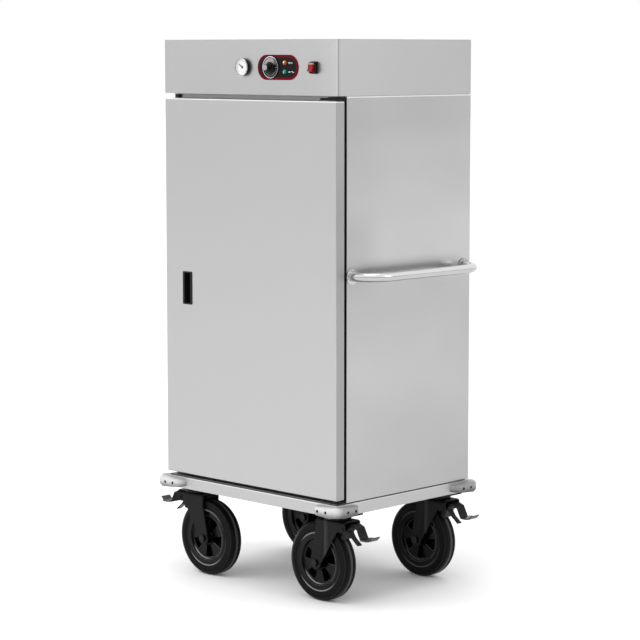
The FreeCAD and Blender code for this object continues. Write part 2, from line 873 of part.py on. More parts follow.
def door_gasket():
    z = (inner_bottom + inner_top) / 2
    wide = 2 * (inner_half + gasket_inset + gasket_width)
    tall = inner_top - inner_bottom + 2 * (gasket_inset + gasket_width)
    face = body_front - gasket_clearance
    outer = rounded_plate_y(0, z, wide, tall, gasket_radius + gasket_width, door_back, face)
    inner = rounded_plate_y(0, z, wide - 2 * gasket_width, tall - 2 * gasket_width, gasket_radius,
                            door_back - overrun, face + overrun)
    return outer.cut(inner)


def door_pull():
    flange = rounded_plate_y(pull_x, pull_z, pull_width, pull_height, pull_radius,
                             front - pull_flange_thickness, front)
    cup = pull_pocket(0, front, front + pull_depth)
    hollow = pull_pocket(-pull_wall, front - overrun, front + pull_depth - pull_wall)
    return flange.fuse(cup).removeSplitter().cut(hollow)


def hinge_bush(base, direction):
    # A flanged plain bearing, closed at its inner end, pressed into the door's edge.
    gap = door_bottom_gap - hinge_plate_thickness - gasket_clearance
    inside = base + direction * (hinge_pin_length + bush_floor)
    rim = base - direction * gap
    floor = inside - direction * bush_floor
    bore = hinge_pin_radius + running_fit
    profile = [(bore, rim), (bush_flange_radius, rim), (bush_flange_radius, base), (bush_radius, base),
               (bush_radius, inside), (0, inside), (0, floor), (bore, floor)]
    return revolve_z(profile, hinge_x, hinge_y)


def door_hinges():
    solids = []
    x0 = half_width - hinge_plate_length
    gap = door_bottom_gap - hinge_plate_thickness
    for base, direction in ((door_bottom, 1), (door_top, -1)):
        plate_near = base - direction * gap
        plate_far = plate_near - direction * hinge_plate_thickness
        z0, z1 = sorted((plate_near, plate_far))
        plate = block(x0, front + hinge_plate_front_gap, z0, door_right, body_front, z1)
        tab_end = plate_far if direction > 0 else header_bottom - hinge_tab_edge - roof_thickness
        t0, t1 = sorted((base - direction * hinge_tab_edge, tab_end))
        tab = block(x0, body_front - hinge_tab_thickness, t0, door_right, body_front, t1)
        pin_end = base + direction * (hinge_pin_length - seat_fit)
        p0, p1 = sorted((plate_near, pin_end))
        pin = rod_z(hinge_pin_radius, hinge_x, hinge_y, p0, p1)
        solids.append(plate.fuse([tab, pin]).removeSplitter())
    return solids


# Casters, made at the swivel axis with the pedal towards +X, then turned to their corners

def placed(shape, sx, sy):
    if sx < 0:
        shape.rotate(Vec(0, 0, 0), Vec(0, 0, 1), 180)
    shape.translate(Vec(sx * swivel_x, sy * swivel_y, 0))
    return shape


def fork_arch():
    # The bent sheet seen from the end: a crown and two legs with rounded shoulders.
    low = axle_z - fork_hub_radius
    span = fork_crown_front + fork_crown_back + caster_trail + fork_hub_radius
    start = -fork_crown_back - caster_trail - fork_hub_radius
    outer = block(start, -fork_outer, low, start + span, fork_outer, fork_top)
    inner = block(start - overrun, -fork_gap, low - overrun,
                  start + span + overrun, fork_gap, fork_top - fork_sheet)
    top_edges = [e for e in edges_along(outer, Vec(1, 0, 0)) if e.CenterOfMass.z > low + overrun]
    outer = outer.makeFillet(fork_bend_radius, top_edges)
    roof_edges = [e for e in edges_along(inner, Vec(1, 0, 0)) if e.CenterOfMass.z > low + overrun]
    inner = inner.makeFillet(fork_bend_radius - fork_sheet, roof_edges)
    return outer.cut(inner)


def fork_outline():
    # Seen from the side: a crown with a nose for the pedal's pin, tapering to a round hub.
    hub_x = -caster_trail
    nose = fork_top - fork_nose_drop
    points = [(-fork_crown_back, fork_top), (fork_crown_front, fork_top), (fork_crown_front, nose),
              (fork_leg_front, nose), (hub_x + fork_hub_radius, axle_z), (hub_x - fork_hub_radius, axle_z),
              (-fork_crown_back, fork_top - fork_back_drop)]
    side = flat_face([Vec(x, -fork_outer - overrun, z) for x, z in points])
    slab = side.extrude(Vec(0, 2 * (fork_outer + overrun), 0))
    hub = rod_y(fork_hub_radius, hub_x, axle_z, -fork_outer - overrun, fork_outer + overrun)
    return slab.fuse(hub).removeSplitter()


def fork_presses():
    # The front part of each leg is pressed in a little, which leaves a crease down to the hub.
    low = axle_z + fork_press_rise
    below = fork_top - fork_bend_radius
    points = [(fork_press_top, below), (fork_crown_front + overrun, below),
              (fork_crown_front + overrun, low), (fork_press_low, low)]
    cuts = []
    for side in (-1, 1):
        face = flat_face([Vec(x, side * (fork_outer - fork_press_depth), z) for x, z in points])
        cuts.append(face.extrude(Vec(0, side * overrun, 0)))
    return cuts


def fork():
    holes = [rod_z(kingpin_radius + running_fit, 0, 0, fork_top - fork_sheet - overrun, fork_top + overrun)]
    reach = fork_outer + overrun
    holes.append(rod_y(axle_radius + seat_fit, -caster_trail, axle_z, -reach, reach))
    holes.append(rod_y(pedal_pin_radius + seat_fit, pedal_pivot_out, pedal_pivot_z, -reach, reach))
    arch = fork_arch().common(fork_outline()).cut(holes + fork_presses())
    seat = fork_outer - fork_press_depth
    pin = rod_y(pedal_pin_radius, pedal_pivot_out, pedal_pivot_z, -seat, seat)
    heads = []
    for side in (-1, 1):
        y0, y1 = sorted((side * seat, side * (seat + pedal_pin_head_height)))
        heads.append(rod_y(pedal_pin_head_radius, pedal_pivot_out, pedal_pivot_z, y0, y1))
    return [arch, pin.fuse(heads).removeSplitter()]


def axle():
    shaft = rod_y(axle_radius, -caster_trail, axle_z, -fork_outer, fork_outer)
    heads = []
    for side in (-1, 1):
        y0, y1 = sorted((side * fork_outer, side * (fork_outer + axle_head_height)))
        heads.append(rod_y(axle_head_radius, -caster_trail, axle_z, y0, y1))
    return shaft.fuse(heads).removeSplitter()


def wheel_pockets():
    # Rounded pockets between the spokes, on both sides of a thin wall in the middle.
    hub_x = -caster_trail
    inner = rim_hub_radius + window_margin
    outer = rim_ring_radius - window_margin
    ring = rod_y(outer, hub_x, axle_z, -rim_flange_half, rim_flange_half)
    ring = ring.cut(rod_y(inner, hub_x, axle_z, -rim_flange_half - overrun, rim_flange_half + overrun))
    spokes = []
    for turn in range(spoke_count):
        spokes.append(spoke_bar(spoke_width / 2, rim_flange_half + overrun, outer + overrun, turn))
    membrane = rod_y(outer + overrun, hub_x, axle_z, -rim_membrane / 2, rim_membrane / 2)
    pockets = []
    for piece in ring.cut(spokes).Solids:
        pockets.append(piece.makeFillet(window_radius, edges_along(piece, Vec(0, 1, 0))).cut(membrane))
    return pockets


def spoke_bar(half_wide, half_thick, reach, turn):
    hub_x = -caster_trail
    bar = block(hub_x - half_wide, -half_thick, axle_z, hub_x + half_wide, half_thick, axle_z + reach)
    bar.rotate(Vec(hub_x, 0, axle_z), Vec(0, 1, 0), 360.0 * turn / spoke_count)
    return bar


def rim():
    bore = axle_radius + running_fit
    hub_edge = rim_hub_radius - rim_hub_taper
    half = [(bore, rim_hub_half), (hub_edge, rim_hub_half), (rim_hub_radius, rim_web_half),
            (rim_ring_radius, rim_web_half), (rim_ring_radius + rim_flange_height, rim_flange_half),
            (tyre_bead_radius, rim_flange_half)]
    profile = half + [(radius, -y) for radius, y in reversed(half)]
    return revolve_y(profile, -caster_trail, axle_z).cut(wheel_pockets())


def tyre():
    hub_x = -caster_trail
    outer = wheel_radius
    half = tyre_width / 2
    bead = tyre_bead_radius + running_fit
    side = bead + tyre_step_height

    def at(radius, y):
        return Vec(hub_x + radius, y, axle_z)

    def flank(sign):
        shoulder = outer - tyre_shoulder_drop
        lean = radians(tyre_shoulder_angle)
        middle_y = tyre_tread_half + (half - tyre_tread_half) * cos(lean)
        middle_r = shoulder + tyre_shoulder_drop * sin(lean)
        low = Part.LineSegment(at(bead, sign * tyre_bead_half), at(side, sign * half)).toShape()
        up = Part.LineSegment(at(side, sign * half), at(shoulder, sign * half)).toShape()
        round_off = Part.Arc(at(shoulder, sign * half), at(middle_r, sign * middle_y),
                             at(outer, sign * tyre_tread_half)).toShape()
        return [low, up, round_off]

    tread = Part.LineSegment(at(outer, -tyre_tread_half), at(outer, tyre_tread_half)).toShape()
    bore = Part.LineSegment(at(bead, -tyre_bead_half), at(bead, tyre_bead_half)).toShape()
    section = Part.Wire(Part.__sortEdges__(flank(1) + [tread] + flank(-1) + [bore]))
    return Part.Face(section).revolve(Vec(hub_x, 0, axle_z), Vec(0, 1, 0), 360)


def bent_strip(outs, ups, wide):
    # A strip of pressed sheet along a bent line from the pedal's pivot, with rounded bends.
    centre = [Vec(pedal_pivot_out + out, -wide / 2, pedal_pivot_z + up) for out, up in zip(outs, ups)]
    strips = []
    for start, end in zip(centre, centre[1:]):
        run = end - start
        across = Vec(-run.z, 0, run.x).normalize() * (pedal_sheet / 2)
        quad = flat_face([start + across, end + across, end - across, start - across])
        strips.append(quad.extrude(Vec(0, wide, 0)))
    knuckles = [rod(pedal_sheet / 2, point, point + Vec(0, wide, 0)) for point in centre[1:]]
    return strips[0].fuse(strips[1:] + knuckles)


def shoe_reach():
    # How far the shoe's round nose is from the pedal's pivot to keep its clearance to the tyre.
    along = Vec(cos(radians(shoe_angle)), 0, sin(radians(shoe_angle)))
    from_wheel = Vec(pedal_pivot_out + caster_trail, 0, pedal_pivot_z - axle_z)
    wanted = wheel_radius + shoe_clearance + shoe_half_width
    inward = from_wheel.dot(along)
    return -inward - sqrt(inward ** 2 - from_wheel.Length ** 2 + wanted ** 2)


def brake_pedal():
    pivot = Vec(pedal_pivot_out, 0, pedal_pivot_z)
    half = pedal_width / 2
    hub = rod_y(pedal_hub_radius, pivot.x, pivot.z, -half, half)
    arm = bent_strip(pedal_arm_out, pedal_arm_up, pedal_width)
    release = bent_strip(release_out, release_up, release_width)
    tread_z = pivot.z + pedal_arm_up[-2]
    tread = block(pivot.x + tread_start_out, -tread_width / 2, tread_z - pedal_sheet / 2,
                  pivot.x + pedal_arm_out[-2], tread_width / 2, tread_z + pedal_sheet / 2)
    tread = tread.makeFillet(tread_radius, edges_along(tread, Vec(0, 0, 1)))
    along = Vec(cos(radians(shoe_angle)), 0, sin(radians(shoe_angle)))
    across = Vec(-along.z, 0, along.x) * shoe_half_width
    root = Vec(pivot.x, -half, pivot.z)
    nose = root + along * shoe_reach()
    shoe_side = flat_face([root + across, nose + across, nose - across, root - across])
    shoe = shoe_side.extrude(Vec(0, pedal_width, 0))
    pad = rod(shoe_half_width, nose, nose + Vec(0, pedal_width, 0))
    pedal = hub.fuse([arm, release, tread, shoe, pad]).removeSplitter()
    bore = rod_y(pedal_pin_radius + running_fit, pivot.x, pivot.z, -half - overrun, half + overrun)
    return pedal.cut(bore)


def save_casters():
    for sx, sy in corners:
        name = corner_names[(sx, sy)]
        save("fork_" + name, [placed(piece, sx, sy) for piece in fork()])
        save("axle_" + name, placed(axle(), sx, sy))
        save("rim_" + name, placed(rim(), sx, sy))
        save("tyre_" + name, placed(tyre(), sx, sy))
        save("brake_pedal_" + name, placed(brake_pedal(), sx, sy))


def save_cabinet():
    save("base_frame", base_frame())
    save("corner_bumpers", [corner_bumper(sx, sy) for sx, sy in corners])
    save("caster_plates", [caster_plate(sx, sy) for sx, sy in corners])
    save("body_side_left", body_side(-1))
    save("body_side_right", body_side(1))
    save("body_back", body_back())
    save("body_floor", body_floor())
    save("body_roof", body_roof())
    save("front_frame", front_frame())
    save("inner_liner", inner_liner())
    save("insulation", insulation())
    save("tray_rack_left", tray_rack(-1))
    save("tray_rack_right", tray_rack(1))
    save("heating_element", heating_element())
    save("element_brackets", element_brackets())
    save("push_handle", push_handle())


def save_header():
    save("header_front", header_front())
    save("header_shell", header_shell())
    save("header_lid", header_lid())
    save("power_inlet", power_inlet())
    save("control_plate_rim", control_plate_rim())
    save("control_plate", control_plate())
    save("heat_lamp", pilot_lamp(1))
    save("power_lamp", pilot_lamp(-1))
    save("thermostat", thermostat())
    save("knob_skirt", knob_skirt())
    save("knob_grip", knob_grip())
    save("gauge_case", gauge_case())
    save("gauge_dial", gauge_dial())
    save("gauge_needle", gauge_needle())
    save("gauge_lens", gauge_lens())
    save("switch_housing", switch_housing())
    save("switch_rocker", switch_rocker())


def save_door():
    save("door_skin", door_skin())
    save("door_liner", door_liner())
    save("door_core", door_core())
    save("door_gasket", door_gasket())
    save("door_pull", door_pull())
    save("hinge_bushes", [hinge_bush(door_bottom, 1), hinge_bush(door_top, -1)])
    save("door_hinges", door_hinges())


os.makedirs("parts", exist_ok=True)
save_cabinet()
save_header()
save_door()
save_casters()
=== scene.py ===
import json
import math

import bmesh
import bpy
from mathutils import Matrix, Vector


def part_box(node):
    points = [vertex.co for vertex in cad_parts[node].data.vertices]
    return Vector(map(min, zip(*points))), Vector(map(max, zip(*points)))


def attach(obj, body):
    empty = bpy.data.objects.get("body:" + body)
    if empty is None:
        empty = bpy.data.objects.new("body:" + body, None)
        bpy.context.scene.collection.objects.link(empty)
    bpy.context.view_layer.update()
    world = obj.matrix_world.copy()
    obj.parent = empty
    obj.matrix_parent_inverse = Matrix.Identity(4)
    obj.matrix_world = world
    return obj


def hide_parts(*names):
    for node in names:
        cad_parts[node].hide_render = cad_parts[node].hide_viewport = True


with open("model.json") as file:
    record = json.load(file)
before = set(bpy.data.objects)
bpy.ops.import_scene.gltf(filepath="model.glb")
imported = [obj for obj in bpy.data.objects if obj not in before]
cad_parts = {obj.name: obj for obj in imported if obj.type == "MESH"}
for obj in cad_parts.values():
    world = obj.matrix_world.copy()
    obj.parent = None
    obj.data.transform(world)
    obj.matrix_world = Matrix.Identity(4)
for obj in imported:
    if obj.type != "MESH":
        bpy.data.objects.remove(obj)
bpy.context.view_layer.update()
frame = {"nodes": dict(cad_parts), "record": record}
cornerSigns = {"front_right": (1, -1), "back_right": (1, 1), "front_left": (-1, -1), "back_left": (-1, 1)}
finishes = {}
print("frame loaded:", len(frame["nodes"]), "nodes")


# Node sums, finishes and patterns

class Value:
    # A node socket that takes part in ordinary sums.
    def __init__(self, owner, socket):
        self.owner = owner
        self.socket = socket

    def maths(self, operation, first, second=0.0):
        return self.owner.node("ShaderNodeMath", {"operation": operation}, {0: first, 1: second})

    def __add__(self, other):
        return self.maths("ADD", self, other)

    def __sub__(self, other):
        return self.maths("SUBTRACT", self, other)

    def __rsub__(self, other):
        return self.maths("SUBTRACT", other, self)

    def __mul__(self, other):
        return self.maths("MULTIPLY", self, other)

    def __mod__(self, other):
        return self.maths("MODULO", self, other)

    def __abs__(self):
        return self.maths("ABSOLUTE", self)

    def ramp(self, low, high):
        settings = {"interpolation_type": "SMOOTHSTEP"}
        return self.owner.node("ShaderNodeMapRange", settings, {0: self, 1: low, 2: high})


class Nodes:
    def __init__(self, tree):
        self.tree = tree

    def node(self, kind, settings, sockets, out=0):
        made = self.tree.nodes.new(kind)
        for label, amount in settings.items():
            setattr(made, label, amount)
        for label, amount in sockets.items():
            self.feed(made.inputs[label], amount)
        return Value(self, made.outputs[out]) if made.outputs else None

    def feed(self, socket, amount):
        if isinstance(amount, Value):
            self.tree.links.new(amount.socket, socket)
        else:
            socket.default_value = amount

    def vector(self, **parts):
        return self.node("ShaderNodeCombineXYZ", {}, parts)


class Finish(Nodes):
    # A Principled material, kept under its name in finishes.
    def __init__(self, name, fixed):
        self.material = bpy.data.materials.new(name)
        self.material.use_nodes = True
        super().__init__(self.material.node_tree)
        self.shader = self.tree.nodes["Principled BSDF"]
        for label, amount in fixed.items():
            self.shader.inputs[label].default_value = amount
        finishes[name] = self

    def vary(self, label, amount):
        self.feed(self.shader.inputs[label], amount)

    def place(self):
        return self.node("ShaderNodeTexCoord", {}, {}, "Object")

    def along(self, axis):
        return self.node("ShaderNodeSeparateXYZ", {}, {0: self.place()}, axis)

    def noise(self, stretch, scale, detail, rough=0.5):
        spread = self.node("ShaderNodeMapping", {}, {"Vector": self.place(), "Scale": stretch})
        return self.node("ShaderNodeTexNoise", {}, {"Vector": spread, "Scale": scale, "Detail": detail,
                                                    "Roughness": rough})

    def edgeHighlight(self):
        # One on the softened edges of a copy, where the painted edge highlight goes, nought elsewhere.
        return self.node("ShaderNodeAttribute", {"attribute_name": "edgeHighlight"}, {}, "Fac")

    def tinted(self, amount, dark, light):
        return self.node("ShaderNodeMix", {"data_type": "RGBA"}, {0: amount, 6: dark, 7: light}, 2)

    def bump(self, height, strength, distance):
        self.vary("Normal", self.node("ShaderNodeBump", {}, {"Strength": strength, "Distance": distance,
                                                             "Height": height}))


class Spot:
    # Measures seen from the front: how far a point lies aside of a centre, above it and away from it.
    def __init__(self, centre, mirrored=False):
        self.centre = centre
        self.mirrored = mirrored    # left of the middle, from the centre's mirror image

    def aside(self, finish):
        across = finish.along("X")
        return across - (across.maths("SIGN", across) * self.centre.x if self.mirrored else self.centre.x)

    def height(self, finish):
        return finish.along("Z") - self.centre.z

    def radius(self, finish):
        across, height = self.aside(finish), self.height(finish)
        squares = across * across + height * height
        return squares.maths("SQRT", squares)

    def lean(self, up, aside):
        return lambda finish: self.height(finish) * up + self.aside(finish) * aside


class Pattern(Nodes):
    # A Geometry Nodes group with named inputs that places copies of one small shape.
    def __init__(self, name, inputs):
        super().__init__(bpy.data.node_groups.new(name, "GeometryNodeTree"))
        self.keys = {}
        for label, kind in {"Places": "Geometry", **inputs, "Finish": "Material"}.items():
            made = self.tree.interface.new_socket(name=label, in_out="INPUT", socket_type="NodeSocket" + kind)
            self.keys[label] = made.identifier
        self.tree.interface.new_socket(name="Result", in_out="OUTPUT", socket_type="NodeSocketGeometry")
        self.entry = self.tree.nodes.new("NodeGroupInput")

    def given(self, label):
        return Value(self, self.entry.outputs[label])

    def closeWith(self, copies):
        real = self.node("GeometryNodeRealizeInstances", {}, {0: copies})
        made = self.node("GeometryNodeSetMaterial", {}, {"Geometry": real, "Material": self.given("Finish")})
        self.node("NodeGroupOutput", {}, {0: made})

    def applied(self, piece, **amounts):
        # Sets the inputs by identifier, then keeps the result as the piece's own mesh.
        layer = piece.modifiers.new("pattern", "NODES")
        layer.node_group = self.tree
        for label, amount in amounts.items():
            layer[self.keys[label]] = amount
        bake(piece, layer)


def colour(tone):
    return (*tone, 1.0) if isinstance(tone, tuple) else (tone, tone, tone, 1.0)


def middleOf(node):
    low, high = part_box(node)
    return (low + high) / 2


def faded(finish, level, fades):
    # Adds each fade: a change of level, held by ramps along an axis or another measure of the place.
    for change, *ramps in fades:
        for measure, low, high in ramps:
            spot = measure(finish) if callable(measure) else finish.along(measure)
            change = spot.ramp(low, high) * change
        level = change + level
    return level


def sheetFinish(name, look):
    # Satin sheet: fine grain, soft clouding, a faint wave of the sheet and slow fades along the axes, which
    # paint light and shade on it.
    finish = Finish(name, {"Metallic": 1.0})
    grain = finish.noise(look["grainStretch"], look["grainScale"], look["grainDetail"])
    cloud = finish.noise(look["cloudStretch"], look["cloudScale"], look["cloudDetail"], look["cloudRough"])
    wave = finish.noise(look["waveStretch"], look["waveScale"], look["waveDetail"])
    level = (grain - 0.5) * look["grainTone"] + (cloud - 0.5) * look["cloudTone"] + look["level"]
    finish.vary("Base Color", faded(finish, level, look["fades"]))
    finish.vary("Roughness", (grain - 0.5) * look["grainRough"] + look["rough"])
    height = wave * look["waveShare"] + grain * (1 - look["waveShare"])
    finish.bump(height, look["bump"], look["bumpDepth"])


def mottled(name, rough, spread=0.08, scale=220.0, bump=0.06, metal=0.0, sheen=0.5, alpha=1.0):
    # A finish with a fine mottle in its gloss and surface, and the mottle itself.
    finish = Finish(name, {"Metallic": metal, "Specular IOR Level": sheen, "Alpha": alpha})
    mottle = finish.noise((1.0, 1.0, 1.0), scale, detail=3.0)
    finish.vary("Roughness", (mottle - 0.5) * spread + rough)
    if bump:
        finish.bump(mottle, bump, distance=0.0004)
    return finish, mottle


def plainFinish(name, tones, bump=0.0, **look):
    # The mottle goes from the dark tone to the light one.
    finish, mottle = mottled(name, bump=bump, **look)
    dark, light = tones
    finish.vary("Base Color", finish.tinted(mottle, colour(dark), colour(light)))


def levelFinish(name, level, fades, edge=0.0, **look):
    # A grey that fades change and that painted edge highlights lighten, with the mottle over it.
    finish, mottle = mottled(name, **look)
    grey = finish.edgeHighlight() * edge + faded(finish, level, fades)
    finish.vary("Base Color", grey * (mottle * 0.5 + 0.75))


# Sheet finishes: a fade is a change of level and the ramps that hold it, each an axis and two ends; the fades
# paint light and shade

doorRight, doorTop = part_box("door_skin")[1].x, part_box("door_skin")[1].z
railRight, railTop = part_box("base_frame")[1].x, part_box("corner_bumpers")[1].z
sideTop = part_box("body_side_right")[1].z
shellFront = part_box("header_shell")[0].y
handleMid = middleOf("push_handle").z
satinLook = {"grainStretch": (1.0, 1.0, 0.012), "grainScale": 900.0, "grainDetail": 3.0, "grainTone": 0.012,
             "grainRough": 0.05, "cloudStretch": (2.0, 2.0, 1.2), "cloudScale": 1.0, "cloudDetail": 2.5,
             "cloudRough": 0.55, "cloudTone": 0.03, "waveStretch": (3.0, 3.0, 0.8), "waveScale": 1.0,
             "waveDetail": 1.0, "waveShare": 0.98, "bump": 0.05, "bumpDepth": 0.001, "level": 0.50,
             "fades": [], "rough": 0.34}
# Places of painted light and shade: the door's right edge and a dark line beside it, the handle's shadow on
# the side, the rail's lit top edge, and the handle's flanges and a dark streak along its tube
doorEdge = ("X", doorRight - 0.0022, doorRight - 0.0006)
doorLine = (("X", doorRight - 0.0048, doorRight - 0.0034), ("X", doorRight - 0.0008, doorRight - 0.0018))
handleShadow = (("Z", 1.040, 1.056), ("Z", 1.092, 1.058), ("Y", -0.24, -0.16), ("Y", 0.30, 0.22),
               ("X", -0.10, 0.10))
railSide = ("X", railRight - 0.002, railRight - 0.0004)
railEdge = ("Z", railTop - 0.0042, railTop - 0.0030)
onFlange = ("X", railRight + 0.010, railRight + 0.006)
beyondFlange = ("X", railRight + 0.006, railRight + 0.010)
tubeStreak = (("Z", handleMid - 0.001, handleMid + 0.001), ("Z", handleMid + 0.004, handleMid + 0.002))
sheetLooks = {    # what differs from satinLook
    "satin_steel": {},
    # Painted light and shade: a little lighter from the middle up, darker again towards the top, a darker
    # right edge that is paler higher up, a dark line beside that edge, and a painted highlight along the top
    # edge
    "door_steel": {"level": 0.467, "cloudTone": 0.012, "fades": [
        (0.015, ("Z", 0.45, 0.90)), (-0.022, ("Z", 1.08, 1.58)), (-0.155, doorEdge),
        (0.045, doorEdge, ("Z", 1.20, 1.45)), (-0.12, *doorLine, ("Z", 0.70, 1.20)),
        (0.35, ("Z", doorTop - 0.0045, doorTop - 0.0025))]},
    # Painted highlights: lighter strips towards the right-hand corner and a bright line at the corner
    "header_steel": {"level": 0.447, "cloudTone": 0.05, "fades": [
        (0.018, ("X", 0.30, 0.345)), (0.015, ("X", 0.360, 0.366)), (0.05, ("X", 0.3845, 0.3865))]},
    # Painted light and shade: bands of light and shade up the panel, lighter and darker patches towards the
    # front, a painted highlight along the top edge, and the handle's painted shadow just above it
    "side_steel": {"level": 0.404, "rough": 0.22, "cloudTone": 0.1, "cloudStretch": (2.2, 2.2, 3), "fades": [
        (0.033, ("Z", 0.33, 0.55)), (0.020, ("Z", 0.56, 0.72)), (-0.016, ("Z", 0.70, 0.92)),
        (0.058, ("Z", 0.97, 1.10)), (-0.035, ("Z", 1.15, 1.40)), (-0.028, ("Z", 1.42, 1.52)),
        (0.022, ("Y", -0.27, -0.10), ("Z", 0.90, 1.10)),
        (-0.07, ("Y", -0.08, -0.22), ("Z", 0.95, 1.08), ("Z", 1.28, 1.14)),
        (-0.02, ("Y", -0.25, -0.05), ("Z", 0.75, 0.50)),
        (0.32, ("Z", sideTop - 0.0045, sideTop - 0.0025)), (-0.075, *handleShadow)]},
    # Painted shade: a little darker towards the back, and a dark strip along the front edge at the seam
    "shell_steel": {"level": 0.465, "cloudTone": 0.05, "fades": [
        (-0.012, ("Y", -0.25, 0.05)), (-0.07, ("Y", shellFront + 0.014, shellFront))]},
    # Painted shade: a dark sheet for the shaded gaps round the door, on the frame and on the deck below it,
    # lighter towards the top gap
    "frame_steel": {"level": 0.15, "fades": [(0.105, ("Z", 1.40, 1.58))]},
    "liner_steel": {"level": 0.54, "rough": 0.30},
    # Painted light and shade: a slightly darker right-hand side, a painted highlight along the top edge that
    # is weaker on the right, and painted shade on the front rail's top face under the door
    "rail_aluminium": {"level": 0.478, "rough": 0.42, "grainStretch": (0.012, 0.012, 1.0), "fades": [
        (-0.025, railSide), (0.20, railEdge), (-0.12, railEdge, railSide),
        (-0.38, ("Z", railTop - 0.0004, railTop - 0.0001), ("Y", -0.20, -0.25))]},
    # Painted shade and reflections: a darker lower half of the tube, darker flanges, the far one most, a dark
    # streak along the middle that is stronger at the near end, and a dark line along the bottom
    "handle_steel": {"level": 0.72, "rough": 0.22, "grainStretch": (0.02, 0.02, 1.0), "fades": [
        (-0.25, ("Z", handleMid + 0.003, handleMid - 0.002), beyondFlange),
        (-0.14, onFlange), (-0.22, onFlange, ("Y", 0.10, 0.20)), (-0.15, *tubeStreak, beyondFlange),
        (-0.09, *tubeStreak, ("Y", -0.04, -0.16), beyondFlange),
        (-0.32, ("Z", handleMid - 0.0095, handleMid - 0.0135), beyondFlange)]},
    "rack_steel": {"level": 0.60, "rough": 0.32, "grainStretch": (0.02, 0.02, 1.0)},
}
for name, look in sheetLooks.items():
    sheetFinish(name, dict(satinLook, **look))

plainLooks = {
    "axle_steel": {"tones": (0.020, 0.032), "rough": 0.30, "metal": 1.0},
    "insulation_wool": {"tones": ((0.55, 0.47, 0.25), (0.72, 0.64, 0.38)), "rough": 0.95, "bump": 0.5},
    "element_steel": {"tones": (0.22, 0.32), "rough": 0.40, "metal": 1.0},
    "gasket_rubber": {"tones": (0.045, 0.06), "rough": 0.55, "sheen": 0.3},
    "black_plastic": {"tones": (0.005, 0.008), "rough": 0.34, "sheen": 0.18},
    "hinge_black": {"tones": (0.004, 0.007), "rough": 0.42, "sheen": 0.12},
    "bush_plastic": {"tones": (0.05, 0.07), "rough": 0.5},
    "rim_red": {"tones": ((0.094, 0.001, 0.006), (0.122, 0.002, 0.009)), "rough": 0.30, "sheen": 0.05},
    "plate_black": {"tones": (0.004, 0.006), "rough": 0.36, "sheen": 0.10},
    "thermostat_metal": {"tones": (0.42, 0.52), "rough": 0.36, "metal": 1.0},
    "gauge_chrome": {"tones": (0.50, 0.58), "rough": 0.14, "metal": 1.0},
    "dial_white": {"tones": (0.70, 0.74), "rough": 0.5},
    "needle_black": {"tones": (0.004, 0.006), "rough": 0.4, "sheen": 0.1},
    "gauge_glass": {"tones": (0.9, 0.95), "rough": 0.05, "spread": 0.01, "alpha": 0.03},
    "mark_white": {"tones": (0.72, 0.78), "rough": 0.5},
    "mark_black": {"tones": (0.010, 0.014), "rough": 0.35},
    "knob_cap": {"tones": (0.28, 0.33), "rough": 0.30, "metal": 0.3},
    "screw_dark": {"tones": (0.003, 0.006), "rough": 0.45, "sheen": 0.1},
}
for name, look in plainLooks.items():
    plainFinish(name, **look)


# Caster and bumper finishes: painted highlights and shade, as fades that also run along places on the nearest
# wheel

wheelCentre = middleOf("tyre_front_right")
wheelSpot = Spot(wheelCentre, mirrored=True)
backShare = 0.30


def wheelRise(finish):
    return abs(wheelSpot.height(finish))


def wheelDepth(finish):
    return abs(abs(finish.along("Y")) - abs(wheelCentre.y))


def fromMiddle(axis):
    return lambda finish: abs(finish.along(axis))


def glint(middle, half):
    # The ramp of a thin ring of painted light on a wheel.
    return (lambda finish: abs(wheelSpot.radius(finish) - middle)), half, half / 2


def dimBehind(change, *ramps):
    # The wheels at the back stand in the cart's shade, where only a share of the change shows.
    return [(change * backShare, *ramps), (change * (1 - backShare), *ramps, ("Y", 0.1, -0.1))]


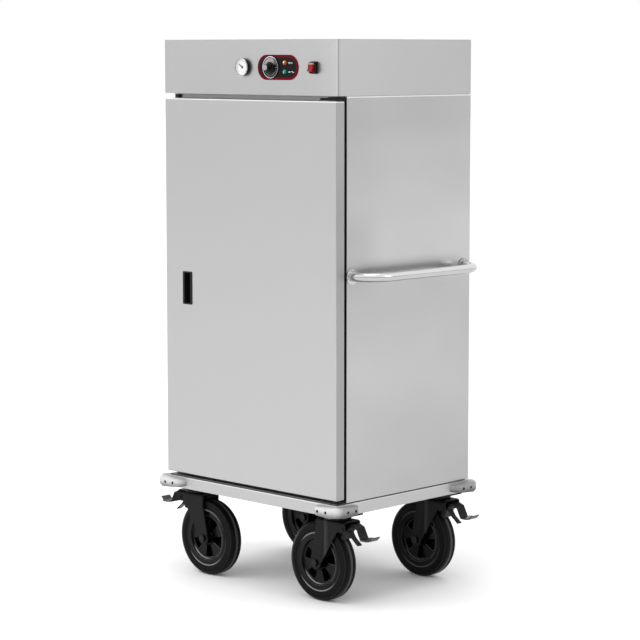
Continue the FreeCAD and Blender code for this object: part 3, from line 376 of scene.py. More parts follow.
tyreLip = glint(0.0925, 0.0022)
low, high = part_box("brake_pedal_front_right")
pedalFoot = (fromMiddle("X"), high.x - (high.x - low.x) * 0.42, high.x - (high.x - low.x) * 0.22)
low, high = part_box("corner_bumpers")
bumperRise = ("Z", low.z + 0.004, high.z - 0.011)
bumperSide = (fromMiddle("Y"), high.y - 0.002, high.y - 0.030)
levelLooks = {
    # Painted highlights: a lip that is bright above and below the axle, a shoulder that is brighter on the
    # left, and a light stripe along the middle of the tread
    "tyre_black": {"level": 0.0030, "rough": 0.36, "sheen": 0.075, "scale": 260.0, "fades": [
        (0.006, tyreLip), *dimBehind(0.20, tyreLip, (wheelRise, 0.048, 0.085)),
        (0.010, glint(0.1185, 0.0022)), (0.035, glint(0.1165, 0.0060), (wheelSpot.aside, -0.070, -0.105)),
        (0.048, (wheelDepth, 0.0068, 0.0036), (wheelSpot.radius, 0.122, 0.1235))]},
    # Painted highlights: bright edges, an arc below on the ring and a fainter one beside it
    "rim_black": {"level": 0.003, "edge": 0.42, "rough": 0.22, "sheen": 0.13, "fades": [
        *dimBehind(0.30, glint(0.0716, 0.0012), (wheelSpot.height, -0.030, -0.056),
                   (wheelSpot.aside, 0.030, -0.008)),
        (0.035, glint(0.0785, 0.0024), (wheelSpot.aside, 0.045, 0.068))]},
    # Painted highlights: a sheen along the fold of the right-hand legs, and bright edges
    "fork_black": {"level": 0.006, "edge": 0.030, "rough": 0.36, "sheen": 0.11,
                   "fades": [(0.024, ("X", 0.2960, 0.2985), ("X", 0.3200, 0.2990))]},
    # A dark arm that is lighter towards the foot, with painted highlights on its edges
    "pedal_steel": {"level": 0.018, "edge": 0.09, "rough": 0.30, "metal": 1.0,
                    "fades": [(0.085 - 0.018, pedalFoot)]},
    # Painted shade: paler towards the top, darker on the legs along the sides
    "bumper_grey": {"level": 0.17, "rough": 0.40, "sheen": 0.4, "fades": [
        (0.41, bumperRise), (-0.17 * 0.54, bumperSide), (-0.41 * 0.54, bumperRise, bumperSide)]},
}
for name, look in levelLooks.items():
    levelFinish(name, **look)
rimFinish = finishes["rim_black"]
# Painted shade: Metallic over the near-black base makes the windows' floors and the hub black, without gloss
hollow = wheelDepth(rimFinish).ramp(0.0045, 0.0025)
hub = wheelSpot.radius(rimFinish).ramp(0.034, 0.026)
rimFinish.vary("Metallic", hollow.maths("MAXIMUM", hollow, hub))    # no gloss in the windows and at the hub
print("finishes made:", len(finishes))


# Mesh helpers, all in metres in the object's own frame

nearNought = 1e-6


def softened(points, radius, steps=4, closed=False):
    # The same chain of points with its corners rounded, by less than half of either run.
    chain = [Vector(p) for p in points]
    out = []
    for index, corner in enumerate(chain):
        if not closed and index in (0, len(chain) - 1):
            out.append(corner)
            continue
        before = chain[index - 1] - corner
        after = chain[(index + 1) % len(chain)] - corner
        wanted = radius[index] if isinstance(radius, (list, tuple)) else radius
        reach = min(wanted, before.length * 0.48, after.length * 0.48)
        if reach < nearNought:
            out.append(corner)
            continue
        start = corner + before.normalized() * reach
        end = corner + after.normalized() * reach
        for step in range(steps + 1):
            t = step / steps
            out.append(start * (1 - t) ** 2 + corner * 2 * t * (1 - t) + end * t ** 2)
    return out


def circle(steps):
    angles = [2 * math.pi * step / steps for step in range(steps)]
    return [(math.cos(angle), math.sin(angle)) for angle in angles]


def quarter(steps=8):
    # Cosines and sines up to a right angle, without the start.
    angles = [math.pi / 2 * step / steps for step in range(1, steps + 1)]
    return [(math.cos(angle), math.sin(angle)) for angle in angles]


def disc(radius, back, ahead):
    return [(0, back), (radius, back), (radius, ahead), (0, ahead)]


def sleeve(inner, outer, back, ahead):
    return [(inner, back), (outer, back), (outer, ahead), (inner, ahead), (inner, back)]


def join(bm, rings, steps):
    # Faces from each ring to the next, where a ring may be one point.
    for low, high in zip(rings, rings[1:]):
        for step in range(steps):
            pair = (step, (step + 1) % steps)
            loop = [low[k % len(low)] for k in pair] + [high[k % len(high)] for k in reversed(pair)]
            loop = list(dict.fromkeys(loop))
            if len(loop) > 2:
                bm.faces.new(loop)


def lathe(bm, profile, centre, axis, steps):
    # Turns (radius, along) pairs about the axis through centre.
    turn = Vector(axis).to_track_quat("Z", "Y").to_matrix()
    rings = []
    for radius, along in profile:
        spots = [(0, 0, along)]
        if radius >= nearNought:
            spots = [(radius * across, radius * up, along) for across, up in circle(steps)]
        rings.append([bm.verts.new(Vector(centre) + turn @ Vector(spot)) for spot in spots])
    join(bm, rings, steps)


def bevel(bm, edges, size, steps):
    made = bmesh.ops.bevel(bm, geom=edges, offset=size, offset_type="OFFSET", segments=steps, profile=0.5,
                           affect="EDGES", clamp_overlap=True)
    return made["faces"]


def slab(bm, outline, place, depth, edge=0.0, steps=3, keep=None):
    # A closed outline raised by depth along the place matrix's own Z, with softened rims.
    low = [bm.verts.new(place @ Vector((p[0], p[1], 0))) for p in outline]
    high = [bm.verts.new(place @ Vector((p[0], p[1], depth))) for p in outline]
    made = [bm.faces.new(list(reversed(low))), bm.faces.new(high)]
    join(bm, [low, high], len(outline))
    if edge:
        rims = [e for face in made for e in face.edges]
        if keep:
            rims = [e for e in rims if keep(place.inverted() @ ((e.verts[0].co + e.verts[1].co) / 2))]
        bevel(bm, rims, edge, steps)


def roundBox(bm, low, high, edge, steps=3):
    low, high = Vector(low), Vector(high)
    place = Matrix.Translation((low + high) / 2) @ Matrix.Diagonal(tuple(high - low) + (1.0,))
    cube = bmesh.ops.create_cube(bm, size=1.0, matrix=place)
    if edge:
        bevel(bm, list({e for v in cube["verts"] for e in v.link_edges}), edge, steps)


def pipe(bm, path, radius, steps=32):
    # A round bar along a chain of points with flat ends.
    rings = []
    side = None
    for index, point in enumerate(path):
        before = path[max(index - 1, 0)]
        after = path[min(index + 1, len(path) - 1)]
        along = (after - before).normalized()
        if side is None:
            side = along.orthogonal().normalized()
        side = (side - along * side.dot(along)).normalized()
        across = along.cross(side)
        rings.append([bm.verts.new(point + (side * x + across * y) * radius) for x, y in circle(steps)])
    join(bm, rings, steps)
    bm.faces.new(list(reversed(rings[0])))
    bm.faces.new(rings[-1])


def bentPath(points, radius, steps):
    # Straight runs joined by true arcs.
    chain = [Vector(p) for p in points]
    out = [chain[0]]
    for before, corner, after in zip(chain, chain[1:], chain[2:]):
        back = (before - corner).normalized()
        ahead = (after - corner).normalized()
        half = back.angle(ahead) / 2
        centre = corner + (back + ahead).normalized() * (radius / math.sin(half))
        start = corner + back * (radius / math.tan(half))
        spin = (start - centre).cross(-back).normalized()
        for step in range(steps + 1):
            turn = Matrix.Rotation((math.pi - 2 * half) * step / steps, 3, spin)
            out.append(centre + turn @ (start - centre))
    out.append(chain[-1])
    return out


def bevelled(bm, edge, steps=2, sharp=40):
    # Softens the sharp edges and marks what that adds for a painted edge highlight.
    edgeHighlight = bm.faces.layers.float.new("edgeHighlight")
    edges = [e for e in bm.edges if len(e.link_faces) == 2 and e.calc_face_angle(0) > math.radians(sharp)]
    for face in bevel(bm, edges, edge, steps):
        face[edgeHighlight] = 1.0
    return edgeHighlight


def cadCopy(node, edge, steps=2):
    # The CAD piece with its triangles merged to faces and its sharp edges softened.
    bm = bmesh.new()
    bm.from_mesh(frame["nodes"][node].data)
    bmesh.ops.remove_doubles(bm, verts=bm.verts, dist=5e-6)
    bmesh.ops.dissolve_limit(bm, angle_limit=math.radians(0.6), verts=bm.verts, edges=bm.edges)
    bevelled(bm, edge, steps)
    return bm


def linked(name, data):
    made = bpy.data.objects.new(name, data)
    bpy.context.scene.collection.objects.link(made)
    return made


def meshOf(bm, name):
    mesh = bpy.data.meshes.new(name)
    bm.to_mesh(mesh)
    bm.free()
    return mesh


def bake(piece, modifier):
    # The modifier's result becomes the piece's own mesh.
    bpy.context.view_layer.update()
    result = bpy.data.meshes.new_from_object(piece.evaluated_get(bpy.context.evaluated_depsgraph_get()))
    piece.modifiers.remove(modifier)
    piece.data = result


def smoothFaces(piece, smooth=32):
    # Smooth below the given angle, with the large flat faces kept flat up to their rounded edges.
    piece.data.shade_smooth()
    piece.data.set_sharp_from_angle(angle=math.radians(smooth))
    weigh = piece.modifiers.new("weigh", "WEIGHTED_NORMAL")
    weigh.keep_sharp = True
    weigh.weight = 100
    bake(piece, weigh)


def settle(bm, name, finish, body, stands=(), slot=None, smooth=32):
    # The finished mesh as an object that rides on its body, in place of the CAD nodes that it stands for.
    bmesh.ops.recalc_face_normals(bm, faces=bm.faces)
    piece = linked(name, meshOf(bm, name))
    piece.data.materials.append(finishes[finish].material)
    smoothFaces(piece, smooth)
    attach(piece, body)
    if stands:
        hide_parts(*stands)
    return piece


def dressed(node, name, finish, body, edge, steps=2, slot=None):
    settle(cadCopy(node, edge, steps), name, finish, body, [node], slot)


def block(name, low, high, edge, finish, body, stands=(), slot=None, steps=3):
    bm = bmesh.new()
    roundBox(bm, low, high, edge, steps)
    return settle(bm, name, finish, body, stands, slot)


def turned(name, profile, centre, finish, body, stands=(), steps=96, **rest):
    # A piece turned about the line through centre that runs to the front.
    bm = bmesh.new()
    lathe(bm, profile, centre, toFront, steps)
    settle(bm, name, finish, body, stands, **rest)


def setOut(pattern, name, mesh, finish, slot, body, **sizes):
    # A pattern's copies as one piece.
    piece = linked(name, mesh)
    pattern.applied(piece, Finish=finishes[finish].material, **sizes)
    smoothFaces(piece)
    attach(piece, body)


def moved(turn, place):
    return Matrix.Translation(place) @ turn.to_4x4()


toFront = (0, -1, 0)
faceFront = Matrix.Rotation(math.radians(90), 3, "X")
print("helpers ready")


# Patterns: round heads on points, and ticks on an arc

def headPattern(crownShare=0.7):
    # Heads with a chamfered crown, one on each point, turned along the point's facing.
    heads = Pattern("heads", {"Radius": "Float", "Height": "Float", "Crown": "Float"})
    radius, height = heads.given("Radius"), heads.given("Height")
    tiers = []
    for top, depth in ((radius, height), (radius * crownShare, heads.given("Crown"))):
        tiers.append(heads.node("GeometryNodeMeshCone", {}, {
            "Vertices": 20, "Side Segments": 1, "Radius Top": top, "Radius Bottom": radius, "Depth": depth}))
    tiers[1] = heads.node("GeometryNodeTransform", {}, {
        "Geometry": tiers[1], "Translation": heads.vector(Z=height)})
    whole = heads.tree.nodes.new("GeometryNodeJoinGeometry")
    for tier in tiers:
        heads.tree.links.new(tier.socket, whole.inputs[0])
    facing = heads.node("GeometryNodeInputNamedAttribute", {"data_type": "FLOAT_VECTOR"}, {"Name": "facing"})
    turn = heads.node("FunctionNodeAlignRotationToVector", {"axis": "Z"}, {"Vector": facing})
    heads.closeWith(heads.node("GeometryNodeInstanceOnPoints", {}, {
        "Points": heads.given("Places"), "Instance": Value(heads, whole.outputs[0]), "Rotation": turn}))
    return heads


def tickPattern():
    # Short bars on an arc in the XZ plane, every so many of them longer and half as wide again.
    floats = ("Start", "Step", "Radius", "Length", "Width", "Depth", "Stretch")
    ticks = Pattern("ticks", {"Count": "Int", "Every": "Int", "Centre": "Vector",
                              **dict.fromkeys(floats, "Float")})
    index = ticks.node("GeometryNodeInputIndex", {}, {})
    angle = ticks.given("Start") + index * ticks.given("Step")
    radius = ticks.given("Radius")
    spot = ticks.vector(X=radius * angle.maths("COSINE", angle), Z=radius * angle.maths("SINE", angle))
    points = ticks.node("GeometryNodePoints", {}, {"Count": ticks.given("Count"), "Position": spot})
    size = ticks.vector(X=ticks.given("Length"), Y=ticks.given("Depth"), Z=ticks.given("Width"))
    bar = ticks.node("GeometryNodeMeshCube", {}, {"Size": size})
    major = 1 - (index % ticks.given("Every")).ramp(0.25, 0.75)
    grow = ticks.vector(X=major * ticks.given("Stretch") + 1, Y=1.0, Z=major * 0.5 + 1)
    copies = ticks.node("GeometryNodeInstanceOnPoints", {}, {
        "Points": points, "Instance": bar, "Rotation": ticks.vector(Y=0 - angle), "Scale": grow})
    ticks.closeWith(ticks.node("GeometryNodeTransform", {}, {
        "Geometry": copies, "Translation": ticks.given("Centre")}))
    return ticks


heads = headPattern()
ticks = tickPattern()


def headSet(name, places, *look, **sizes):
    # One mesh of heads from pairs of place and facing.
    mesh = bpy.data.meshes.new(name)
    mesh.from_pydata([spot for spot, facing in places], [], [])
    layer = mesh.attributes.new("facing", "FLOAT_VECTOR", "POINT")
    for index, (spot, facing) in enumerate(places):
        layer.data[index].vector = facing
    setOut(heads, name, mesh, *look, **sizes)


def tickSet(name, *look, **sizes):
    setOut(ticks, name, bpy.data.meshes.new(name), *look, **sizes)


# CAD pieces that keep their own mesh

paints = {"hinge_bushes": "bush_plastic", "door_core": "insulation_wool", "inner_liner": "liner_steel",
          "insulation": "insulation_wool", "element_brackets": "rack_steel", "body_floor": "satin_steel",
          "thermostat": "thermostat_metal", "heating_element": "element_steel", "gauge_dial": "dial_white",
          "gauge_lens": "gauge_glass"}
for node, finish in paints.items():
    coats = frame["nodes"][node].data.materials
    coats.clear()
    coats.append(finishes[finish].material)
print("CAD pieces painted:", len(paints))

# Base rails, deck and pads

base = {"railWidth": 0.030, "railEdge": 0.0012, "deckInset": 0.007, "pad": (0.125, 0.115, 0.006),
        "edge": 0.0008}
low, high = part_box("base_frame")
innerX, innerY = high.x - base["railWidth"], high.y - base["railWidth"]
padX, padY, padHeight = base["pad"]
bm = bmesh.new()
for sign in (-1, 1):
    y = sorted((sign * high.y, sign * innerY))
    roundBox(bm, (low.x, y[0], low.z), (high.x, y[1], railTop), base["railEdge"])
    x = sorted((sign * high.x, sign * innerX))
    roundBox(bm, (x[0], -innerY, low.z), (x[1], innerY, railTop), base["railEdge"])
for sx, sy in cornerSigns.values():
    x = sorted((sx * innerX, sx * (innerX - padX)))
    y = sorted((sy * innerY, sy * (innerY - padY)))
    roundBox(bm, (x[0], y[0], low.z), (x[1], y[1], low.z + padHeight), base["edge"])
settle(bm, "baseRails", "rail_aluminium", "cabinet", ["base_frame"])
inset = base["deckInset"]
# The deck takes the dark frame finish: painted shade under the door.
block("deck", (low.x + inset, low.y + inset, railTop), (high.x - inset, high.y - inset, high.z), base["edge"],
      "frame_steel", "cabinet", slot="satin_steel")

# Corner bumpers: soft blocks round each corner that get lower along each leg, with two dark screws on a leg

bumper = {"leg": 0.092, "reach": 0.0300, "taper": 0.024, "corner": 0.042, "end": 0.016, "edge": 0.0095,
          "screws": (0.050, 0.0855), "sink": 0.0003, "tallShare": 0.88, "thinShare": 0.30, "seat": 0.0001}
low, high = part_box("corner_bumpers")
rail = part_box("base_frame")[1]
outX, outY = rail.x + bumper["reach"], rail.y + bumper["reach"]
endX, endY = rail.x - bumper["leg"], rail.y - bumper["leg"]
plan = softened([(endX, rail.y, 0), (endX + bumper["taper"], outY, 0), (outX, outY, 0),
                 (outX, endY + bumper["taper"], 0), (rail.x, endY, 0), (rail.x, rail.y, 0)],
                [0, bumper["end"], bumper["corner"], bumper["end"], 0, 0], steps=8, closed=True)
middle = (low.z + high.z) / 2


def offRail(spot):
    return abs(spot.x) > rail.x + bumper["seat"] or abs(spot.y) > rail.y + bumper["seat"]


bm = bmesh.new()
places = []
for sx, sy in cornerSigns.values():
    outline = [(sx * p.x, sy * p.y) for p in plan]
    slab(bm, outline, Matrix.Translation((0, 0, low.z)), high.z - low.z, bumper["edge"], 5, offRail)
    for step in bumper["screws"]:
        places.append(((sx * (outX - step), sy * (outY - bumper["sink"]), middle), (0, sy, 0)))
        places.append(((sx * (outX - bumper["sink"]), sy * (outY - step), middle), (sx, 0, 0)))
for spot, normal in (((rail.x, 0, 0), (1, 0, 0)), ((0, rail.y, 0), (0, 1, 0))):
    for side in (1, -1):
        whole = bm.verts[:] + bm.edges[:] + bm.faces[:]
        bmesh.ops.bisect_plane(bm, geom=whole, plane_co=side * Vector(spot), plane_no=normal)
for vert in bm.verts:
    along = max(rail.x - abs(vert.co.x), rail.y - abs(vert.co.y), 0) / bumper["leg"]
    vert.co.z = middle + (vert.co.z - middle) * (bumper["tallShare"] - bumper["thinShare"] * along)
settle(bm, "cornerBumpers", "bumper_grey", "cabinet", ["corner_bumpers"], smooth=50)
headSet("bumperScrews", places, "screw_dark", "bumper_grey", "cabinet", Radius=0.0046, Height=0.0005,
        Crown=0.0004)
print("base made")

# Cabinet sheets and header

sheetEdge = 0.0004
sheets = {"body_side_left": "side_steel", "body_side_right": "side_steel", "body_back": "satin_steel",
          "front_frame": "frame_steel", "body_roof": "satin_steel"}
for node, finish in sheets.items():
    dressed(node, node + "Sheet", finish, "cabinet", sheetEdge, slot="satin_steel")
dressed("header_shell", "headerShell", "shell_steel", "cabinet", sheetEdge, slot="satin_steel")
header = {"sheet": 0.0012, "return": 0.0045, "lap": 0.003, "edge": 0.0011, "lidEdge": 0.0005}
low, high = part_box("header_front")
bm = bmesh.new()
roundBox(bm, low, (high.x, low.y + header["return"], high.z), header["edge"])
roundBox(bm, (low.x + header["sheet"], low.y + header["lap"], low.z),
         (high.x - header["sheet"], high.y, low.z + header["sheet"]), sheetEdge)
settle(bm, "headerFront", "header_steel", "cabinet", ["header_front"], "satin_steel")
block("headerLid", *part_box("header_lid"), header["lidEdge"], "satin_steel", "cabinet", ["header_lid"])
print("cabinet made")

# Door: one folded box with its pull's pocket and the bush holes cut

door = {"edge": 0.0022, "sheet": 0.0012, "sideFlange": 0.008, "endFlange": 0.0045, "pullWall": 0.0016,
        "clearance": 0.0001, "bushRadius": 0.0091, "bushDeep": 0.0322, "overrun": 0.01}
low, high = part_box("door_skin")
skin = block("doorSkin", low, (high.x, high.y - door["sheet"], high.z), door["edge"], "door_steel", "door",
             ["door_skin"], "satin_steel", steps=4)
pullLow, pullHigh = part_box("door_pull")
inX, inZ = [door[label] - door["pullWall"] - door["clearance"] for label in ("sideFlange", "endFlange")]
bm = bmesh.new()
roundBox(bm, (pullLow.x + inX, low.y - door["overrun"], pullLow.z + inZ),
         (pullHigh.x - inX, pullHigh.y + door["clearance"], pullHigh.z - inZ), 0)
bush = middleOf("hinge_bushes")
for z, up in ((low.z, 1), (high.z, -1)):
    hole = disc(door["bushRadius"], -up * door["overrun"], up * door["bushDeep"])
    lathe(bm, hole, (bush.x, bush.y, z), (0, 0, 1), steps=32)
bmesh.ops.recalc_face_normals(bm, faces=bm.faces)
cutter = linked("doorCutter", meshOf(bm, "doorCutter"))
cut = skin.modifiers.new("cut", "BOOLEAN")
cut.object = cutter
cut.operation = "DIFFERENCE"
cut.solver = "EXACT"
bake(skin, cut)
bpy.data.objects.remove(cutter)
smoothFaces(skin)

# Each copy of a CAD piece has a name, a finish, a body, a soft edge and that edge's steps
doorCopies = {"door_liner": ("doorLiner", "liner_steel", "door", 0.0003, 2),
              "door_gasket": ("doorGasket", "gasket_rubber", "door", 0.0020, 3),
              "door_pull": ("doorPull", "black_plastic", "door", 0.0006, 3),
              "door_hinges": ("doorHinges", "hinge_black", "cabinet", 0.0007, 3)}
for node, look in doorCopies.items():
    dressed(node, *look)
catch = {"inset": 0.013, "wide": 0.017, "deep": 0.008, "gap": 0.0015, "edge": 0.001}
low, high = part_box("front_frame")
left = low.x + catch["inset"]
block("doorCatch", (left, low.y - catch["deep"], doorTop + catch["gap"]),
      (left + catch["wide"], low.y, high.z - catch["gap"]), catch["edge"], "black_plastic", "cabinet")
print("door made")

# Inside: the tray racks

for node in ("tray_rack_left", "tray_rack_right"):
    dressed(node, node + "Dressed", "rack_steel", "cabinet", sheetEdge)
print("inside made")

# Push handle: one bent tube with a round flange at each end

handle = {"radius": 0.014, "bend": 0.082, "flangeRadius": 0.024, "flange": 0.004, "flangeEdge": 0.0012,
          "screws": 0.0188, "screwTurns": (90, 210, 330), "sink": 0.0004}
low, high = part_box("push_handle")
ends = (low.y + handle["flangeRadius"], high.y - handle["flangeRadius"])
outX = high.x - handle["radius"]
corners = [(low.x, ends[0]), (outX, ends[0]), (outX, ends[1]), (low.x, ends[1])]
flange = softened(disc(handle["flangeRadius"], handle["flange"], 0), handle["flangeEdge"], steps=3)
bm = bmesh.new()
track = bentPath([(x, y, handleMid) for x, y in corners], handle["bend"], steps=18)
pipe(bm, track, handle["radius"], steps=40)
places = []
for y in ends:
    lathe(bm, flange, (low.x, y, handleMid), (1, 0, 0), steps=48)
    for turn in handle["screwTurns"]:
        across = handle["screws"] * math.cos(math.radians(turn))
        up = handle["screws"] * math.sin(math.radians(turn))
        places.append(((low.x + handle["flange"] - handle["sink"], y + across, handleMid + up), (1, 0, 0)))
settle(bm, "pushHandle", "handle_steel", "cabinet", ["push_handle"])
headSet("handleScrews", places, "rack_steel", "handle_steel", "cabinet", Radius=0.0030, Height=0.0010,
        Crown=0.0007)
print("handle made")

# Casters

tyre = {"radius": 0.125, "bead": 0.08905, "beadHalf": 0.023, "half": 0.027, "step": 0.009, "treadHalf": 0.013,
        "drop": 0.013, "ridge": 0.0008, "lip": (0.002, 0.004, 0.005), "lipDrop": 0.001,
        "groove": (0.0085, 0.0080, 0.0062, 0.0057), "grooveDeep": 0.0012}


def tyreProfile():
    # Half of the section with its stepped side, round shoulder and groove, then its mirror image.
    side = tyre["bead"] + tyre["step"]
    wall = tyre["half"] - tyre["ridge"]
    shoulder = tyre["radius"] - tyre["drop"]
    start, end, foot = [side + rise for rise in tyre["lip"]]
    half = [(tyre["bead"], tyre["beadHalf"]), (side, wall), (start, tyre["half"]), (end, tyre["half"]),
            (foot, tyre["half"] - tyre["lipDrop"]), (shoulder, wall)]
    for across, up in quarter():
        half.append((shoulder + tyre["drop"] * up, tyre["treadHalf"] + (wall - tyre["treadHalf"]) * across))
    bottom = tyre["radius"] - tyre["grooveDeep"]
    half += zip((tyre["radius"], bottom, bottom, tyre["radius"]), tyre["groove"])
    return half + [(radius, -along) for radius, along in reversed(half)] + [half[0]]


rim = {"bore": 0.00805, "hubEdge": 0.0165, "hubHalf": 0.031, "hub": 0.022, "webHalf": 0.015,
       "windowIn": 0.025, "windowOut": 0.066, "ring": 0.070, "flange": 0.075, "flangeHalf": 0.024,
       "bead": 0.089, "wallHalf": 0.002, "spokes": 5, "spokeSteps": 10, "windowSteps": 10,
       "corner": 0.004, "edge": 0.0012, "evenEdge": 0.10}
rimTurns = {"front_right": 268.0, "front_left": 243.0, "back_right": 312.0, "back_left": 250.0}


def spokedRim(centre, turn):
    # A turned rim whose web has blind windows between spokes that widen outwards.
    bm = bmesh.new()
    group = rim["spokeSteps"] + rim["windowSteps"]
    count = rim["spokes"] * group
    first = math.radians(turn) - math.pi * rim["spokeSteps"] / count
    made = {}

    def vert(radius, along, column):
        key = (radius, along, column % count)
        if key not in made:
            angle = first + 2 * math.pi * column / count
            spot = Vector((radius * math.cos(angle), along, radius * math.sin(angle)))
            made[key] = bm.verts.new(Vector(centre) + spot)
        return made[key]

    def quad(start, end, column):
        after = column + 1
        bm.faces.new([vert(*start, column), vert(*end, column), vert(*end, after), vert(*start, after)])

    inner, outer = rim["windowIn"], rim["windowOut"]
    half = [(rim["bore"], rim["hubHalf"]), (rim["hubEdge"], rim["hubHalf"]), (rim["hub"], rim["webHalf"]),
            (inner, rim["webHalf"]), (outer, rim["webHalf"]), (rim["ring"], rim["webHalf"]),
            (rim["flange"], rim["flangeHalf"]), (rim["bead"], rim["flangeHalf"])]
    loop = half + [(radius, -along) for radius, along in reversed(half)]
    corners = []
    for start, end in zip(loop, loop[1:] + loop[:1]):
        onWeb = {start[0], end[0]} == {inner, outer}
        for column in range(count):
            step = column % group - rim["spokeSteps"]
            if not onWeb or step < 0:
                quad(start, end, column)
                continue
            floor = math.copysign(rim["wallHalf"], start[1])
            quad((start[0], floor), (end[0], floor), column)
            for radius, along in (start, end):
                quad((radius, along), (radius, floor), column)
            for side, hit in ((column, step == 0), (column + 1, step == rim["windowSteps"] - 1)):
                if hit:
                    walls = [(vert(*spot, side), vert(spot[0], floor, side)) for spot in (start, end)]
                    bm.faces.new([walls[0][0], walls[1][0], walls[1][1], walls[0][1]])
                    corners += walls
    bmesh.ops.recalc_face_normals(bm, faces=bm.faces)
    bevel(bm, [bm.edges.get(pair) for pair in corners], rim["corner"], 4)
    return bm


def spinRim(corner, centre):
    bm = spokedRim(centre, rimTurns[corner])
    edgeHighlight = bevelled(bm, rim["edge"])
    bm.normal_update()
    # Painted highlight: edges that face up keep their full edge highlight, the others only a small share.
    for face in bm.faces:
        face[edgeHighlight] *= max(rim["evenEdge"], face.normal.z)    # edges that face up catch the light
    return bm


axle = {"radius": 0.008, "inset": 0.001, "headRadius": 0.012, "head": 0.007, "headEdge": 0.0008,
        "washerRadius": 0.0118, "washer": 0.0018}


def throughAxle(corner, centre):
    # A plain bar with a washer and a six-sided head at each end.
    low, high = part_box("axle_" + corner)
    ends = [Vector((centre.x, y, centre.z)) for y in (low.y + axle["inset"], high.y - axle["inset"])]
    hexagon = [(axle["headRadius"] * x, axle["headRadius"] * y) for x, y in circle(6)]
    washer = disc(axle["washerRadius"], 0, axle["washer"])
    bm = bmesh.new()
    pipe(bm, ends, axle["radius"])
    for sign, y in ((-1, low.y + axle["head"]), (1, high.y - axle["head"])):
        turn = Vector((0, sign, 0)).to_track_quat("Z", "Y").to_matrix()
        onWasher = moved(turn, (centre.x, y + sign * axle["washer"], centre.z))
        slab(bm, hexagon, onWasher, axle["head"] - axle["washer"], axle["headEdge"], 2)
        lathe(bm, washer, (centre.x, y, centre.z), (0, sign, 0), steps=40)
    return bm


casterEdges = {"fork": 0.0006, "pedal": 0.0005, "plate": 0.0008}
for corner in cornerSigns:
    centre = middleOf("tyre_" + corner)
    wheel, swivel = "wheel_" + corner, "caster_" + corner
    bm = bmesh.new()
    lathe(bm, tyreProfile(), centre, (0, 1, 0), steps=128)
    settle(bm, "tyre" + corner, "tyre_black", wheel, ["tyre_" + corner])
    settle(spinRim(corner, centre), "rim" + corner, "rim_black", wheel, ["rim_" + corner])
    dressed("fork_" + corner, "fork" + corner, "fork_black", swivel, casterEdges["fork"])
    settle(throughAxle(corner, centre), "axle" + corner, "axle_steel", swivel, ["axle_" + corner])
    dressed("brake_pedal_" + corner, "pedal" + corner, "pedal_steel", "pedal_" + corner, casterEdges["pedal"])
kingpin = {"radius": 0.0080, "slack": 0.0002, "nearShares": (0.9, 1.05)}
nearest, furthest = [kingpin["radius"] * share for share in kingpin["nearShares"]]
bm = cadCopy("caster_plates", casterEdges["plate"])
for joint in frame["record"]["behaviour"]["joints"]:
    if not joint["name"].startswith("swivel"):
        continue
    axis = Vector(joint["pos_m"]).to_2d()
    for vert in bm.verts:
        # The pins' flat sides keep clear of the forks' bores as the forks turn.
        away = vert.co.to_2d() - axis
        if nearest < away.length < furthest:
            vert.co.xy -= away.normalized() * kingpin["slack"]
settle(bm, "casterPlates", "fork_black", "cabinet", ["caster_plates"], "plate_zinc")
print("casters made")


# Controls: the plate with its lamps and marks

def stadium(low, high, steps=24):
    wide, tall = high.x - low.x, high.z - low.z
    points = []
    for end in (1, -1):
        for step in range(steps + 1):
            angle = math.pi * step / steps - math.pi / 2
            across = wide - tall + tall * math.cos(angle)
            points.append((end * across / 2, end * tall * math.sin(angle) / 2))
    return points


plates = {"control_plate_rim": ("plateRim", "rim_red", 0.0006),
          "control_plate": ("plateField", "plate_black", 0.0003)}    # name, finish and edge
onFront = moved(faceFront, middleOf("control_plate_rim"))
onFront.translation.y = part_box("control_plate_rim")[1].y
for node, (name, finish, edge) in plates.items():
    low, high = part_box(node)
    bm = bmesh.new()
    slab(bm, stadium(low, high), onFront, high.y - low.y, edge)
    settle(bm, name, finish, "cabinet", [node])

# Each lens has a dark and a light tint, as painted shade that lightens towards the upper left, and a painted
# highlight: a pale gleam at a share of its radius from the middle
lensLook = {"flange": 0.0030, "dome": 0.0035, "rough": 0.10, "sheen": 0.45, "leanShares": (0.8, -0.6),
            "fadeShares": (-0.7, 1.0), "gleamShares": (0.60, 0.20)}
lensTints = {"heat_lamp": {"finish": "lamp_amber", "dark": (0.24, 0.030, 0.002), "light": (0.62, 0.17, 0.010),
                           "gleam": (1.0, 0.78, 0.52), "spotShares": (-0.30, 0.30)},
             "power_lamp": {"finish": "lamp_green", "dark": (0.002, 0.085, 0.055),
                            "light": (0.010, 0.30, 0.19), "gleam": (0.13, 0.56, 0.43),
                            "spotShares": (-0.35, -0.10)}}


def lensFinish(centre, reach, look):
    finish = Finish(look["finish"], {"Roughness": lensLook["rough"], "Specular IOR Level": lensLook["sheen"]})
    # Painted shade across the lens, then a painted highlight at the gleam
    fade = [reach * share for share in lensLook["fadeShares"]]
    lean = Spot(centre).lean(*lensLook["leanShares"])(finish).ramp(*fade)
    tint = finish.tinted(lean, colour(look["dark"]), colour(look["light"]))
    spotX, spotZ = [reach * share for share in look["spotShares"]]
    near = [reach * share for share in lensLook["gleamShares"]]
    gleam = Spot(centre + Vector((spotX, 0, spotZ))).radius(finish).ramp(*near)
    finish.vary("Base Color", finish.tinted(gleam, tint, colour(look["gleam"])))


def ribbon(path, wide):
    # A flat stroke's outline: the path with half the width on either side.
    left, right = [], []
    for index, point in enumerate(path):
        run = Vector(path[min(index + 1, len(path) - 1)]) - Vector(path[max(index - 1, 0)])
        across = Vector((-run.y, run.x)).normalized() * wide / 2
        left.append(tuple(Vector(point) + across))
        right.append(tuple(Vector(point) - across))
    return left + right[::-1]


